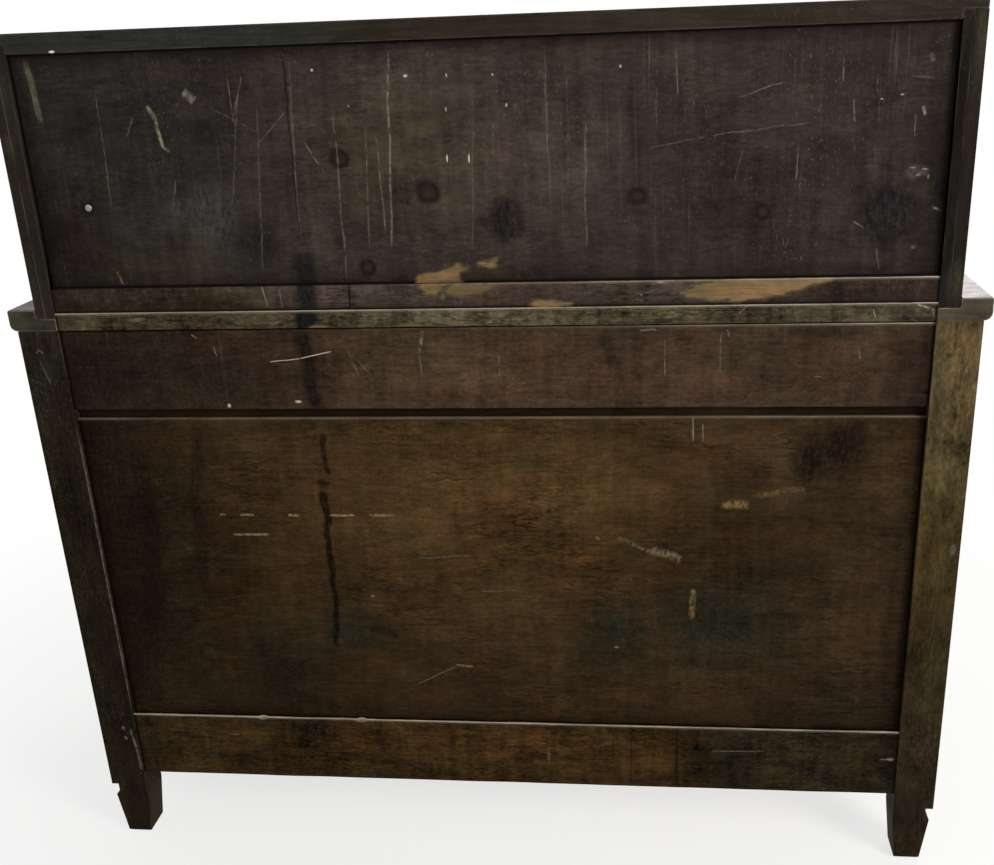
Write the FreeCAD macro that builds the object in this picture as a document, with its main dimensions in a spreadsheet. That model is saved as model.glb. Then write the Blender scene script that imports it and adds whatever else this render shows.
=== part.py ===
import FreeCAD, Part
import math
import os
import types

import Sketcher

# A secretaire chest: a chest of three long drawers on tapered feet, a waist slab,
# and a shallower desk case above it that opens with a fall.
# Frame: +Z up, front towards -Y, left and right as seen from the front (left is -X).
# The origin is on the floor, under the middle of the whole piece. Sizes are in millimetres.

SIZES = (
    ("lower_width", 1150, "lower case, over the corner posts"),
    ("lower_depth", 500, "lower case, front of posts to back of posts"),
    ("case_height", 756.5, "floor to the underside of the waist slab"),
    ("slab_thickness", 26.5, "waist slab"),
    ("slab_end_overhang", 9, "waist slab past the posts, each end"),
    ("slab_front_overhang", 16, "waist slab past the front posts"),
    ("slab_under_round", 9, "round under the slab's front and ends"),
    ("arris_round", 2.5, "soft upper arris of slab and top board"),
    ("post_width", 52, "corner post, across the case"),
    ("post_depth", 45, "corner post, front to back"),
    ("foot_height", 66, "tapered foot of a post"),
    ("neck_height", 18, "neck above the foot"),
    ("neck_inset", 9.5, "neck's step in from the post on shown sides"),
    ("foot_top_inset", 4, "foot's upper edge in from the post, shown sides"),
    ("foot_toe_inset", 12.5, "foot's toe in from the post, shown sides"),
    ("foot_heel_inset", 5.5, "foot's toe in from the post, inner sides"),
    ("toe_chamfer", 4, "chamfer around a foot's toe"),
    ("rail_lift", 105, "floor to the underside of the bottom rails"),
    ("groove_depth", 8, "panel edges into their grooves"),
    ("tenon_length", 20, "rail tenons into the posts"),
    ("tenon_thickness", 8, "rail tenons"),
    ("tenon_shoulder", 12, "shoulder above and below a rail's tenon"),
    ("back_rail_height", 98, "bottom rail of the lower back"),
    ("back_rail_thickness", 22, "bottom rail of the lower back"),
    ("back_rail_recess", 1.5, "bottom rail in from the posts' back"),
    ("back_board_drop", 2, "air between that board and the slab"),
    ("back_board_height", 101.5, "board under the slab, lower back"),
    ("back_board_thickness", 16, "board under the slab, lower back"),
    ("back_board_recess", 3, "board in from the posts' back"),
    ("back_gap", 13, "bare tongue between board and panel"),
    ("back_tongue_thickness", 6, "large panel's tongue behind the board"),
    ("back_tongue_lap", 8, "that tongue up behind the board"),
    ("back_panel_thickness", 12, "large panel of the lower back"),
    ("back_panel_recess", 7, "large panel in from the posts' back"),
    ("side_rail_height", 80, "rails of the lower case's sides"),
    ("side_rail_thickness", 20, "rails of the lower case's sides"),
    ("side_rail_recess", 3, "side rails in from the posts' outer face"),
    ("side_panel_thickness", 10, "panels of the lower case's sides"),
    ("side_panel_recess", 5, "side panels in from the side rails"),
    ("front_rail_thickness", 18, "top front rail"),
    ("front_rail_depth", 60, "front rails, front to back"),
    ("rail_tenon_depth", 22, "front rails' tenons, front to back"),
    ("divider_thickness", 20, "rails between the drawers"),
    ("apron_height", 62, "bottom front rail"),
    ("apron_thickness", 22, "bottom front rail"),
    ("frieze_opening", 80, "height of the upper drawer's opening"),
    ("runner_width", 26, "runner under a drawer's side"),
    ("guide_height", 18, "guide beside a drawer's side"),
    ("case_bottom_thickness", 8, "board that closes the case below"),
    ("stop_length", 40, "drawer stop, across"),
    ("stop_width", 14, "drawer stop, front to back"),
    ("stop_height", 7, "drawer stop above the rail"),
    ("stop_spread", 250, "drawer stops from the middle"),
    ("drawer_front_thickness", 22, "drawer fronts"),
    ("drawer_side_thickness", 12, "drawer sides and backs"),
    ("drawer_bottom_thickness", 8, "drawer bottoms"),
    ("drawer_bottom_lift", 10, "drawer bottom above the side's lower edge"),
    ("drawer_groove", 6, "drawer bottom into its grooves"),
    ("drawer_back_clearance", 45, "drawer's back to the chest's back"),
    ("drawer_lap", 7, "front's lap over the dovetails"),
    ("drawer_side_drop", 4, "drawer sides below the front's upper edge"),
    ("dovetail_flare", 2.5, "widening of a dovetail, each flank"),
    ("drawer_play", 1.5, "air beside and above a drawer"),
    ("running_gap", 0.3, "air between sliding faces"),
    ("knob_projection", 30, "knobs in front of the drawer fronts"),
    ("knob_radius", 17, "head of a knob"),
    ("knob_neck_radius", 7.5, "neck of a knob"),
    ("knob_base_radius", 12.5, "collar of a knob"),
    ("knob_spigot_radius", 5, "spigot of a knob"),
    ("knob_spigot_length", 16, "spigot of a knob into the front"),
    ("knob_spread", 330, "knobs from the middle"),
    ("knob_base_thickness", 3.5, "collar of a knob"),
    ("knob_neck_reach", 11, "slimmest part of a knob, from the drawer front"),
    ("knob_dome", 6, "rise of a knob's domed head"),
    ("knob_rim", 3, "straight rim of a knob's head"),
    ("desk_step", 27, "desk case in from the lower case, each end"),
    ("upper_depth", 340, "desk case, front to back of its sides"),
    ("desk_height", 294, "waist slab's top to the top board's underside"),
    ("desk_side_thickness", 25, "sides of the desk case"),
    ("top_thickness", 22.5, "top board"),
    ("top_front_overhang", 14, "top board past the desk case's front"),
    ("side_foot_housing", 11, "desk sides into the waist slab"),
    ("side_head_housing", 9.5, "desk sides into the top board"),
    ("batten_width", 11.5, "rear batten let into a desk side, across"),
    ("batten_depth", 22, "rear batten, front to back"),
    ("desk_rail_height", 29.5, "rail under the desk's back panel"),
    ("desk_rail_thickness", 20, "rail under the desk's back panel"),
    ("desk_rail_recess", 1, "that rail in from the back"),
    ("desk_rail_sink", 4.5, "that rail into the waist slab, down to its rear strip"),
    ("desk_panel_thickness", 10, "desk's back panel"),
    ("desk_panel_recess", 6, "desk's back panel in from the back"),
    ("desk_groove", 6, "desk's back panel into its grooves"),
    ("pigeonhole_depth", 200, "pigeonholes, front to back"),
    ("pigeonhole_height", 165, "lower row of pigeonholes"),
    ("pigeonhole_board", 8, "shelf and partitions"),
    ("fall_thickness", 22, "fall"),
    ("fall_side_gap", 1, "fall to the desk sides"),
    ("fall_top_gap", 1.2, "fall to the top board"),
    ("fall_floor_gap", 0.5, "fall to the waist slab and to the desk floor"),
    ("leather_thickness", 1.2, "writing leather, let in flush"),
    ("leather_margin", 55, "wood around the writing leather"),
    ("leather_lock_margin", 75, "wood above the writing leather"),
    ("pivot_radius", 4, "pivot pins of the fall"),
    ("pivot_length", 28, "pivot pins"),
    ("pivot_reach", 10, "pivot pins into the desk sides"),
    ("bush_radius", 7, "pivot bushes"),
    ("bush_length", 12, "pivot bushes"),
    ("fit_gap", 0.05, "radial air of a round fit"),
    ("lock_width", 70, "lock case"),
    ("lock_height", 46, "lock case"),
    ("lock_thickness", 13, "lock case"),
    ("lock_cover", 5, "lock case behind its bolt"),
    ("bolt_width", 30, "lock bolt"),
    ("bolt_height", 30, "lock bolt"),
    ("bolt_thickness", 5, "lock bolt"),
    ("bolt_throw", 8, "lock bolt's travel"),
    ("bolt_sink", 0.4, "drawn bolt below the fall's upper edge"),
    ("bolt_mortise_gap", 1.5, "air around the thrown bolt"),
    ("keyhole_radius", 3.2, "round part of the keyhole"),
    ("keyhole_slot_width", 3, "slot of the keyhole"),
    ("keyhole_slot_length", 9, "slot of the keyhole"),
    ("keyhole_drop", 37, "keyhole below the fall's upper edge"),
    ("escutcheon_width", 20, "keyhole plate"),
    ("escutcheon_height", 40, "keyhole plate"),
    ("escutcheon_thickness", 2, "keyhole plate"),
    ("escutcheon_sink", 0.8, "keyhole plate let into the fall"),
)

SIDES = (("left", -1), ("right", 1))
LOWER_PIGEONHOLES = 6
UPPER_PIGEONHOLES = 4
FRIEZE_DOVETAILS = 2
DEEP_DOVETAILS = 4
DOVETAIL_SHARE = 0.45


class Size:
    """A size with its value now and the formula of sheet cells that it is bound to."""

    def __init__(self, value, formula):
        self.value = value
        self.formula = formula

    def __add__(self, other):
        other = as_size(other)
        return Size(self.value + other.value, f"({self.formula} + {other.formula})")

    def __sub__(self, other):
        other = as_size(other)
        return Size(self.value - other.value, f"({self.formula} - {other.formula})")

    def __mul__(self, factor):
        return Size(self.value * factor, f"({self.formula} * {factor})")

    def __truediv__(self, divisor):
        return Size(self.value / divisor, f"({self.formula} / {divisor})")

    def __neg__(self):
        return Size(-self.value, f"(0 - {self.formula})")


def as_size(number):
    """A plain number as a size."""
    if isinstance(number, Size):
        return number
    return Size(number, f"({number})")


def fill_sheet():
    """Write the driving sizes into the sheet and return them by name."""
    named = {}
    for row, (alias, value, meaning) in enumerate(SIZES, start=1):
        sheet.set(f"A{row}", meaning)
        sheet.set(f"B{row}", str(value))
        sheet.setAlias(f"B{row}", alias)
        named[alias] = Size(value, f"Sizes.{alias}")
    return types.SimpleNamespace(**named)


doc = FreeCAD.newDocument("SecretaireChest")
sheet = doc.addObject("Spreadsheet::Sheet", "Sizes")
S = fill_sheet()
doc.recompute()

ZERO = as_size(0)

# Planes that the pieces share.
half = S.lower_width / 2
inner = half - S.post_width
rear = (S.lower_depth + S.knob_projection) / 2
front = rear - S.lower_depth
slab_top = S.case_height + S.slab_thickness
post_bottom = S.foot_height + S.neck_height
upper_half = half - S.desk_step
upper_inner = upper_half - S.desk_side_thickness
upper_front = rear - S.upper_depth
top_under = slab_top + S.desk_height
desk_rail_front = rear - S.desk_rail_recess - S.desk_rail_thickness
desk_rail_top = slab_top - S.desk_rail_sink + S.desk_rail_height
desk_panel = (rear - S.desk_panel_recess - S.desk_panel_thickness, rear - S.desk_panel_recess)
back_rail_front = rear - S.back_rail_recess - S.back_rail_thickness
back_rail_top = S.rail_lift + S.back_rail_height
apron_top = S.rail_lift + S.apron_height
side_rail = (half - S.side_rail_recess - S.side_rail_thickness, half - S.side_rail_recess)

# Levels that the drawers run on, and the heights of their openings.
frieze_level = S.case_height - S.front_rail_thickness - S.frieze_opening
deep_opening = (frieze_level - S.divider_thickness * 2 - apron_top) / 2
middle_level = frieze_level - S.divider_thickness - deep_opening
DRAWERS = (
    ("upper_drawer", frieze_level, S.frieze_opening, FRIEZE_DOVETAILS),
    ("middle_drawer", middle_level, deep_opening, DEEP_DOVETAILS),
    ("lower_drawer", apron_top, deep_opening, DEEP_DOVETAILS),
)

# The fall turns about the middle of its thickness, just above the waist slab.
pivot_y = upper_front + S.fall_thickness / 2
pivot_z = slab_top + S.fall_floor_gap + S.fall_thickness / 2
fall_back = upper_front + S.fall_thickness
fall_half = upper_inner - S.fall_side_gap
fall_top = top_under - S.fall_top_gap
floor_top = slab_top + S.fall_floor_gap + S.fall_thickness

pieces = []


def keep(label, shape_object):
    """Make an object one of the chest's pieces, under the name of its file."""
    shape_object.Label = label
    pieces.append(shape_object)
    return shape_object


def bind(target, path, size):
    """Tie one property of an object to its formula of sheet cells."""
    target.setExpression(path, as_size(size).formula)


def on_side(sign, low, high):
    """The span from low to high on the right, or its mirror image on the left."""
    if sign > 0:
        return low, high
    return -high, -low


def block(name, x, y, z):
    """A squared board between two planes each way."""
    box = doc.addObject("Part::Box", name)
    for side, axis, (low, high) in (("Length", "x", x), ("Width", "y", y), ("Height", "z", z)):
        bind(box, side, as_size(high) - low)
        bind(box, f"Placement.Base.{axis}", low)
    return box


def rod(name, direction, radius, span, u, v):
    """A round rod over a span of one axis, at u and v on the other two in X, Y, Z order."""
    round_bar = doc.addObject("Part::Cylinder", name)
    turns = {
        "x": FreeCAD.Rotation(FreeCAD.Vector(0, 1, 0), 90),
        "y": FreeCAD.Rotation(FreeCAD.Vector(1, 0, 0), -90),
    }
    round_bar.Placement = FreeCAD.Placement(FreeCAD.Vector(), turns[direction])
    bind(round_bar, "Radius", radius)
    bind(round_bar, "Height", as_size(span[1]) - span[0])
    places = {direction: span[0]}
    places.update(zip([axis for axis in "xyz" if axis != direction], (u, v)))
    for axis, place in places.items():
        bind(round_bar, f"Placement.Base.{axis}", place)
    return round_bar


def fuse(name, parts):
    """Several solids as one."""
    union = doc.addObject("Part::MultiFuse", name)
    union.Shapes = parts
    union.Refine = True
    return union


def cut(name, base, tools):
    """A solid less the pieces that are let into it."""
    result = doc.addObject("Part::Cut", name)
    result.Base = base
    result.Tool = tools[0] if len(tools) == 1 else fuse(f"{name}_cutter", tools)
    result.Refine = True
    return result


def group(name, parts):
    """Separate solids that share one name."""
    together = doc.addObject("Part::Compound", name)
    together.Links = parts
    return together


def new_sketch(body, name, plane, height=ZERO):
    """A sketch on one of a body's own planes, raised by a height."""
    sketch = body.newObject("Sketcher::SketchObject", name)
    support = [item for item in body.Origin.OriginFeatures if item.Role == plane]
    sketch.AttachmentSupport = (support[0], [""])
    sketch.MapMode = "FlatFace"
    bind(sketch, "AttachmentOffset.Base.z", height)
    return sketch


def pin_point(sketch, geometry, point, u, v):
    """Hold a sketch point at a distance each way from the sketch's origin."""
    for kind, axis, size in (("DistanceX", -2, as_size(u)), ("DistanceY", -1, as_size(v))):
        if size is ZERO:
            sketch.addConstraint(Sketcher.Constraint("PointOnObject", geometry, point, axis))
            continue
        held = sketch.addConstraint(Sketcher.Constraint(kind, -1, 1, geometry, point, size.value))
        bind(sketch, f"Constraints[{held}]", size)


def draw_outline(sketch, points, closed=True):
    """Straight lines from point to point, each corner held where it is asked for."""
    places = [FreeCAD.Vector(as_size(u).value, as_size(v).value, 0) for u, v in points]
    count = len(points) if closed else len(points) - 1
    for index in range(count):
        start, end = places[index], places[(index + 1) % len(points)]
        sketch.addGeometry(Part.LineSegment(start, end), False)
    for index in range(count if closed else count - 1):
        sketch.addConstraint(Sketcher.Constraint("Coincident", index, 2, (index + 1) % count, 1))
    for index, (u, v) in enumerate(points):
        if index < count:
            pin_point(sketch, index, 1, u, v)
        else:
            pin_point(sketch, index - 1, 2, u, v)


def draw_rectangle(sketch, u, v):
    """A rectangle between two planes each way."""
    draw_outline(sketch, ((u[0], v[0]), (u[1], v[0]), (u[1], v[1]), (u[0], v[1])))


def pad(body, name, sketch, length, midplane=False):
    """A sketch raised to a length."""
    feature = body.newObject("PartDesign::Pad", name)
    feature.Profile = sketch
    bind(feature, "Length", length)
    feature.Midplane = midplane
    return feature


def round_edges(body, name, base, radius, chosen):
    """Round those edges of a feature that a test picks out."""
    doc.recompute()
    names = [f"Edge{n}" for n, edge in enumerate(base.Shape.Edges, start=1) if chosen(edge)]
    feature = body.newObject("PartDesign::Fillet", name)
    feature.Base = (base, names)
    bind(feature, "Radius", radius)
    return feature


def lies_at(edge, axis, size):
    """True where both ends of an edge lie at one place along an axis."""
    return all(abs(getattr(vertex.Point, axis) - size.value) < 0.01 for vertex in edge.Vertexes)


def tenoned_rail(name, x, y, z, along, tenon_across, tenon_up):
    """A rail between two shoulders, with a tenon at each end along X or Y."""
    low, high = x if along == "x" else y
    rail = block(f"{name}_shank", x, y, z)
    ends = ((low - S.tenon_length, low), (high, high + S.tenon_length))
    tenons = []
    for number, end in enumerate(ends, start=1):
        place = (end, tenon_across) if along == "x" else (tenon_across, end)
        tenons.append(block(f"{name}_tenon_{number}", place[0], place[1], tenon_up))
    return fuse(name, [rail] + tenons)


def middle_of(span, thickness):
    """A span of a thickness in the middle of another span."""
    centre = (span[0] + span[1]) / 2
    return centre - thickness / 2, centre + thickness / 2


def shouldered(span):
    """A span less the shoulder at each of its ends."""
    return span[0] + S.tenon_shoulder, span[1] - S.tenon_shoulder


def build_lower_back():
    """Back of the lower case: a board, a panel whose tongue laps behind it, and a bottom rail."""
    y = (back_rail_front, rear - S.back_rail_recess)
    z = (S.rail_lift, back_rail_top)
    span = (-inner, inner)
    housed = (-(inner + S.groove_depth), inner + S.groove_depth)
    rail = tenoned_rail("back_bottom_rail_whole", span, y, z, "x",
                        middle_of(y, S.tenon_thickness), shouldered(z))
    board_top = S.case_height - S.back_board_drop
    board_low = board_top - S.back_board_height
    board_back = rear - S.back_board_recess
    board = block("back_board_blank", housed, (board_back - S.back_board_thickness, board_back),
                  (board_low, board_top))
    panel_back = rear - S.back_panel_recess
    panel_front = panel_back - S.back_panel_thickness
    panel_top = board_low - S.back_gap
    sheet = block("back_panel_sheet", housed, (panel_front, panel_back),
                  (back_rail_top - S.groove_depth, panel_top))
    tongue = block("back_panel_tongue", housed, (panel_front, panel_front + S.back_tongue_thickness),
                   (panel_top, board_low + S.back_tongue_lap))
    panel = fuse("back_panel_whole", [sheet, tongue])
    board = cut("back_board_cut", board, [panel])
    rail = cut("back_bottom_rail_cut", rail, [panel])
    keep("back_bottom_rail", rail)
    keep("back_board", board)
    keep("back_panel", panel)
    return [rail, board, panel]


def build_lower_side(side, sign):
    """One side of the lower case: two rails and a panel in their grooves."""
    x = on_side(sign, *side_rail)
    y = (front + S.post_depth, rear - S.post_depth)
    lower_z = (S.rail_lift, S.rail_lift + S.side_rail_height)
    upper_z = (S.case_height - S.side_rail_height, S.case_height)
    panel_out = side_rail[1] - S.side_panel_recess
    panel = block(f"side_panel_{side}_blank",
                  on_side(sign, panel_out - S.side_panel_thickness, panel_out),
                  (y[0] - S.groove_depth, y[1] + S.groove_depth),
                  (lower_z[1] - S.groove_depth, upper_z[0] + S.groove_depth))
    keep(f"side_panel_{side}", panel)
    rails = []
    for name, z in (("bottom", lower_z), ("top", upper_z)):
        label = f"side_{name}_rail_{side}"
        whole = tenoned_rail(f"{label}_whole", x, y, z, "y",
                             middle_of(x, S.tenon_thickness), shouldered(z))
        rails.append(keep(label, cut(f"{label}_cut", whole, [panel])))
    return rails + [panel]


def build_front_rails():
    """Rails across the front, above, between and below the drawers."""
    span = (-inner, inner)
    deep = (front, front + S.front_rail_depth)
    in_post = middle_of((front, front + S.post_depth), S.rail_tenon_depth)
    rails = []
    for label, low, thickness in (
        ("front_top_rail", S.case_height - S.front_rail_thickness, S.front_rail_thickness),
        ("drawer_divider_upper", frieze_level - S.divider_thickness, S.divider_thickness),
        ("drawer_divider_lower", middle_level - S.divider_thickness, S.divider_thickness),
    ):
        z = (low, low + thickness)
        rail = tenoned_rail(f"{label}_whole", span, deep, z, "x", in_post,
                            middle_of(z, S.tenon_thickness))
        rails.append(keep(label, rail))
    y = (front, front + S.apron_thickness)
    z = (S.rail_lift, apron_top)
    apron = tenoned_rail("front_bottom_rail_whole", span, y, z, "x",
                         middle_of(y, S.tenon_thickness), shouldered(z))
    rails.append(keep("front_bottom_rail", apron))
    return rails


def tapered_block(name, low, high, bottom, top):
    """A square block whose sides slope from one outline to another above it.

    Each outline is a span across and a span front to back. The wedge tapers along its own Y,
    so it is turned to stand up, which turns its Z towards the front.
    """
    upright = FreeCAD.Rotation(FreeCAD.Vector(1, 0, 0), 90)
    wedge = doc.addObject("Part::Wedge", name)
    wedge.Placement = FreeCAD.Placement(FreeCAD.Vector(), upright)
    for path, size in (("Ymin", low), ("Ymax", high),
                       ("Xmin", bottom[0][0]), ("Xmax", bottom[0][1]),
                       ("Zmin", -bottom[1][1]), ("Zmax", -bottom[1][0]),
                       ("X2min", top[0][0]), ("X2max", top[0][1]),
                       ("Z2min", -top[1][1]), ("Z2max", -top[1][0])):
        bind(wedge, path, size)
    return wedge


def foot_blocks(label, sign, at_rear):
    """Lower end of a post: a neck cut in on its shown sides, then a taper to a chamfered toe."""

    def outline(shown, hidden, chamfer=ZERO):
        x = on_side(sign, inner + hidden + chamfer, half - shown - chamfer)
        if at_rear:
            return x, (rear - S.post_depth + hidden + chamfer, rear - chamfer)
        return x, (front + shown + chamfer, front + S.post_depth - hidden - chamfer)

    toe = outline(S.foot_toe_inset, S.foot_heel_inset)
    tip = outline(S.foot_toe_inset, S.foot_heel_inset, S.toe_chamfer)
    return [
        tapered_block(f"{label}_toe", ZERO, S.toe_chamfer, tip, toe),
        tapered_block(f"{label}_taper", S.toe_chamfer, S.foot_height, toe, outline(S.foot_top_inset, ZERO)),
        block(f"{label}_neck", *outline(S.neck_inset, ZERO), (S.foot_height, post_bottom)),
    ]


def build_posts(back, sides, rails):
    """Corner posts, each in one piece with its foot, mortised and grooved for what is let into them."""
    for side, sign in SIDES:
        x = on_side(sign, inner, half)
        z = (post_bottom, S.case_height)
        for place, y, let_in in (("rear", (rear - S.post_depth, rear), back),
                                 ("front", (front, front + S.post_depth), rails)):
            label = f"{place}_post_{side}"
            shaft = block(f"{label}_shaft", x, y, z)
            whole = fuse(f"{label}_whole", [shaft] + foot_blocks(label, sign, place == "rear"))
            keep(label, cut(f"{label}_cut", whole, let_in + sides[side]))


def build_runners():
    """Runners and guides for the drawers, their stops, and the board below them."""
    runners = []
    stops = []
    for name, level, _, _ in DRAWERS:
        on_apron = level is apron_top
        start = front + (S.post_depth if on_apron else S.front_rail_depth)
        for side, sign in SIDES:
            bearer = block(f"{name}_bearer_{side}", on_side(sign, inner - S.runner_width, side_rail[0]),
                           (start, rear - S.post_depth), (level - S.divider_thickness, level))
            guide = block(f"{name}_guide_{side}", on_side(sign, inner, side_rail[0]),
                          (front + S.post_depth, rear - S.post_depth), (level, level + S.guide_height))
            runners.append(fuse(f"{name}_runner_{side}", [bearer, guide]))
            stop_y = front + S.drawer_front_thickness + S.running_gap
            foot = level - S.stop_width if on_apron else level
            stops.append(block(f"{name}_stop_{side}",
                               on_side(sign, S.stop_spread, S.stop_spread + S.stop_length),
                               (stop_y, stop_y + S.stop_width), (foot, level + S.stop_height)))
    keep("drawer_runners", group("drawer_runners_group", runners))
    keep("drawer_stops", group("drawer_stops_group", stops))
    bottom_top = apron_top - S.divider_thickness
    keep("case_bottom", block("case_bottom_board", (-inner, inner),
                              (front + S.apron_thickness, back_rail_front),
                              (bottom_top - S.case_bottom_thickness, bottom_top)))


def moulded_board(name, x, y, z, under_round):
    """A board with soft arrises on its front and ends, square at the back."""
    body = doc.addObject("PartDesign::Body", f"{name}_body")
    outline = new_sketch(body, f"{name}_outline", "XY_Plane", z[0])
    draw_rectangle(outline, x, y)
    board = pad(body, f"{name}_board", outline, z[1] - z[0])

    def shown(edge):
        return not lies_at(edge, "y", y[1])

    lower = round_edges(body, f"{name}_under_round", board, under_round,
                        lambda edge: lies_at(edge, "z", z[0]) and shown(edge))
    round_edges(body, f"{name}_arris", lower, S.arris_round,
                lambda edge: lies_at(edge, "z", z[1]) and shown(edge))
    return body


def build_desk_case():
    """The desk case: waist slab with its rear strip, sides, back, floor, top board and pigeonholes."""
    sides, battens, bushes = [], [], []
    z = (slab_top - S.side_foot_housing, top_under + S.side_head_housing)
    for side, sign in SIDES:
        blank = block(f"desk_side_{side}_blank", on_side(sign, upper_inner, upper_half),
                      (upper_front, rear), z)
        batten = block(f"desk_batten_{side}_blank",
                       on_side(sign, upper_inner, upper_inner + S.batten_width),
                       (rear - S.batten_depth, rear), z)
        seat = on_side(sign, upper_inner, upper_inner + S.bush_length)
        hole = rod(f"bush_hole_{side}", "x", S.bush_radius + S.fit_gap, seat, pivot_y, pivot_z)
        sleeve = rod(f"bush_sleeve_{side}", "x", S.bush_radius, seat, pivot_y, pivot_z)
        bore = rod(f"bush_bore_{side}", "x", S.pivot_radius + S.fit_gap, seat, pivot_y, pivot_z)
        bushes.append(cut(f"pivot_bush_{side}", sleeve, [bore]))
        sides.append(keep(f"desk_side_{side}", cut(f"desk_side_{side}_cut", blank, [batten, hole])))
        battens.append(batten)
    keep("pivot_bushes", group("pivot_bushes_group", bushes))

    span = (-upper_inner, upper_inner)
    housed = (-(upper_inner + S.desk_groove), upper_inner + S.desk_groove)
    panel = block("desk_back_panel_blank", housed, desk_panel,
                  (desk_rail_top - S.desk_groove, top_under + S.desk_groove))
    rail = block("desk_back_rail_blank", housed, (desk_rail_front, rear - S.desk_rail_recess),
                 (slab_top - S.desk_rail_sink, desk_rail_top))
    keep("desk_back_panel", panel)
    rail = keep("desk_back_rail", cut("desk_back_rail_cut", rail, [panel]))
    for (side, _), batten in zip(SIDES, battens):
        keep(f"desk_batten_{side}", cut(f"desk_batten_{side}_cut", batten, [panel, rail]))

    slab_end = half + S.slab_end_overhang
    slab = moulded_board("waist_slab", (-slab_end, slab_end), (front - S.slab_front_overhang, rear),
                         (S.case_height, slab_top), S.slab_under_round)
    strip = block("slab_rear_strip_bar", span, (desk_rail_front, rear),
                  (S.case_height, slab_top - S.desk_rail_sink))
    keep("slab_rear_strip", strip)
    seat = block("desk_back_rail_seat", span, (desk_rail_front, rear),
                 (slab_top - S.desk_rail_sink, slab_top))
    keep("waist_slab", cut("waist_slab_cut", slab, sides + battens + [rail, strip, seat]))

    bolt_x, bolt_y, _ = bolt_place()
    air = S.bolt_mortise_gap
    mortise = block("bolt_mortise", (bolt_x[0] - air, bolt_x[1] + air),
                    (bolt_y[0] - air, bolt_y[1] + air), (top_under, top_under + S.bolt_throw + air))
    top = moulded_board("top_board", (-upper_half, upper_half),
                        (upper_front - S.top_front_overhang, rear),
                        (top_under, top_under + S.top_thickness), S.arris_round)
    keep("top_board", cut("top_board_cut", top, sides + battens + [panel, mortise]))
    keep("desk_floor", block("desk_floor_board", span, (fall_back + S.fall_floor_gap, desk_rail_front),
                             (slab_top, floor_top)))
    build_pigeonholes(span)


def build_pigeonholes(span):
    """A shelf across the desk case, with partitions below and above it."""
    y = (desk_rail_front - S.pigeonhole_depth, desk_rail_front)
    shelf = (floor_top + S.pigeonhole_height, floor_top + S.pigeonhole_height + S.pigeonhole_board)
    keep("pigeonhole_shelf", block("pigeonhole_shelf_board", span, y, shelf))
    partitions = []
    rows = (("lower", LOWER_PIGEONHOLES, (floor_top, shelf[0])),
            ("upper", UPPER_PIGEONHOLES, (shelf[1], top_under)))
    for name, count, z in rows:
        for index in range(1, count):
            place = span[0] + (span[1] - span[0]) * (index / count)
            x = (place - S.pigeonhole_board / 2, place + S.pigeonhole_board / 2)
            partitions.append(block(f"{name}_partition_{index}", x, y, z))
    keep("pigeonhole_partitions", group("pigeonhole_partitions_group", partitions))


def bolt_place():
    """Where the drawn lock bolt lies in the fall."""
    y_back = fall_back - S.lock_cover
    z_top = fall_top - S.bolt_sink
    return ((-(S.bolt_width / 2), S.bolt_width / 2), (y_back - S.bolt_thickness, y_back),
            (z_top - S.bolt_height, z_top))


def fall_blank():
    """The fall's board, with a half-round lower edge about its pivots."""
    body = doc.addObject("PartDesign::Body", "fall_board_body")
    section = new_sketch(body, "fall_section", "YZ_Plane")
    corners = ((upper_front, pivot_z), (upper_front, fall_top), (fall_back, fall_top),
               (fall_back, pivot_z))
    draw_outline(section, corners, closed=False)
    circle = Part.Circle(FreeCAD.Vector(pivot_y.value, pivot_z.value, 0),
                         FreeCAD.Vector(0, 0, 1), S.fall_thickness.value / 2)
    nose = section.addGeometry(Part.ArcOfCircle(circle, math.pi, 2 * math.pi), False)
    section.addConstraint(Sketcher.Constraint("Coincident", nose, 1, 0, 1))
    section.addConstraint(Sketcher.Constraint("Coincident", nose, 2, nose - 1, 2))
    held = section.addConstraint(Sketcher.Constraint("DistanceY", -1, 1, nose, 3, pivot_z.value))
    bind(section, f"Constraints[{held}]", pivot_z)
    pad(body, "fall_length", section, fall_half * 2, midplane=True)
    return body


def keyhole(name, y):
    """A keyhole: a round hole with a slot below it."""
    z = fall_top - S.keyhole_drop
    hole = rod(f"{name}_round", "y", S.keyhole_radius, y, ZERO, z)
    slot = block(f"{name}_slot", (-(S.keyhole_slot_width / 2), S.keyhole_slot_width / 2), y,
                 (z - S.keyhole_slot_length, z))
    return fuse(name, [hole, slot])


def build_escutcheon():
    """An upright plate with round ends around the keyhole."""
    y = (upper_front - S.escutcheon_thickness + S.escutcheon_sink, upper_front + S.escutcheon_sink)
    radius = S.escutcheon_width / 2
    middle = fall_top - S.keyhole_drop - S.keyhole_slot_length / 2
    reach = (S.escutcheon_height - S.escutcheon_width) / 2
    plate = fuse("escutcheon_plate", [
        block("escutcheon_middle", (-radius, radius), y, (middle - reach, middle + reach)),
        rod("escutcheon_upper_end", "y", radius, y, ZERO, middle + reach),
        rod("escutcheon_lower_end", "y", radius, y, ZERO, middle - reach),
    ])
    keep("fall_escutcheon", cut("fall_escutcheon_cut", plate, [keyhole("escutcheon_keyhole", y)]))
    return plate


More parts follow.
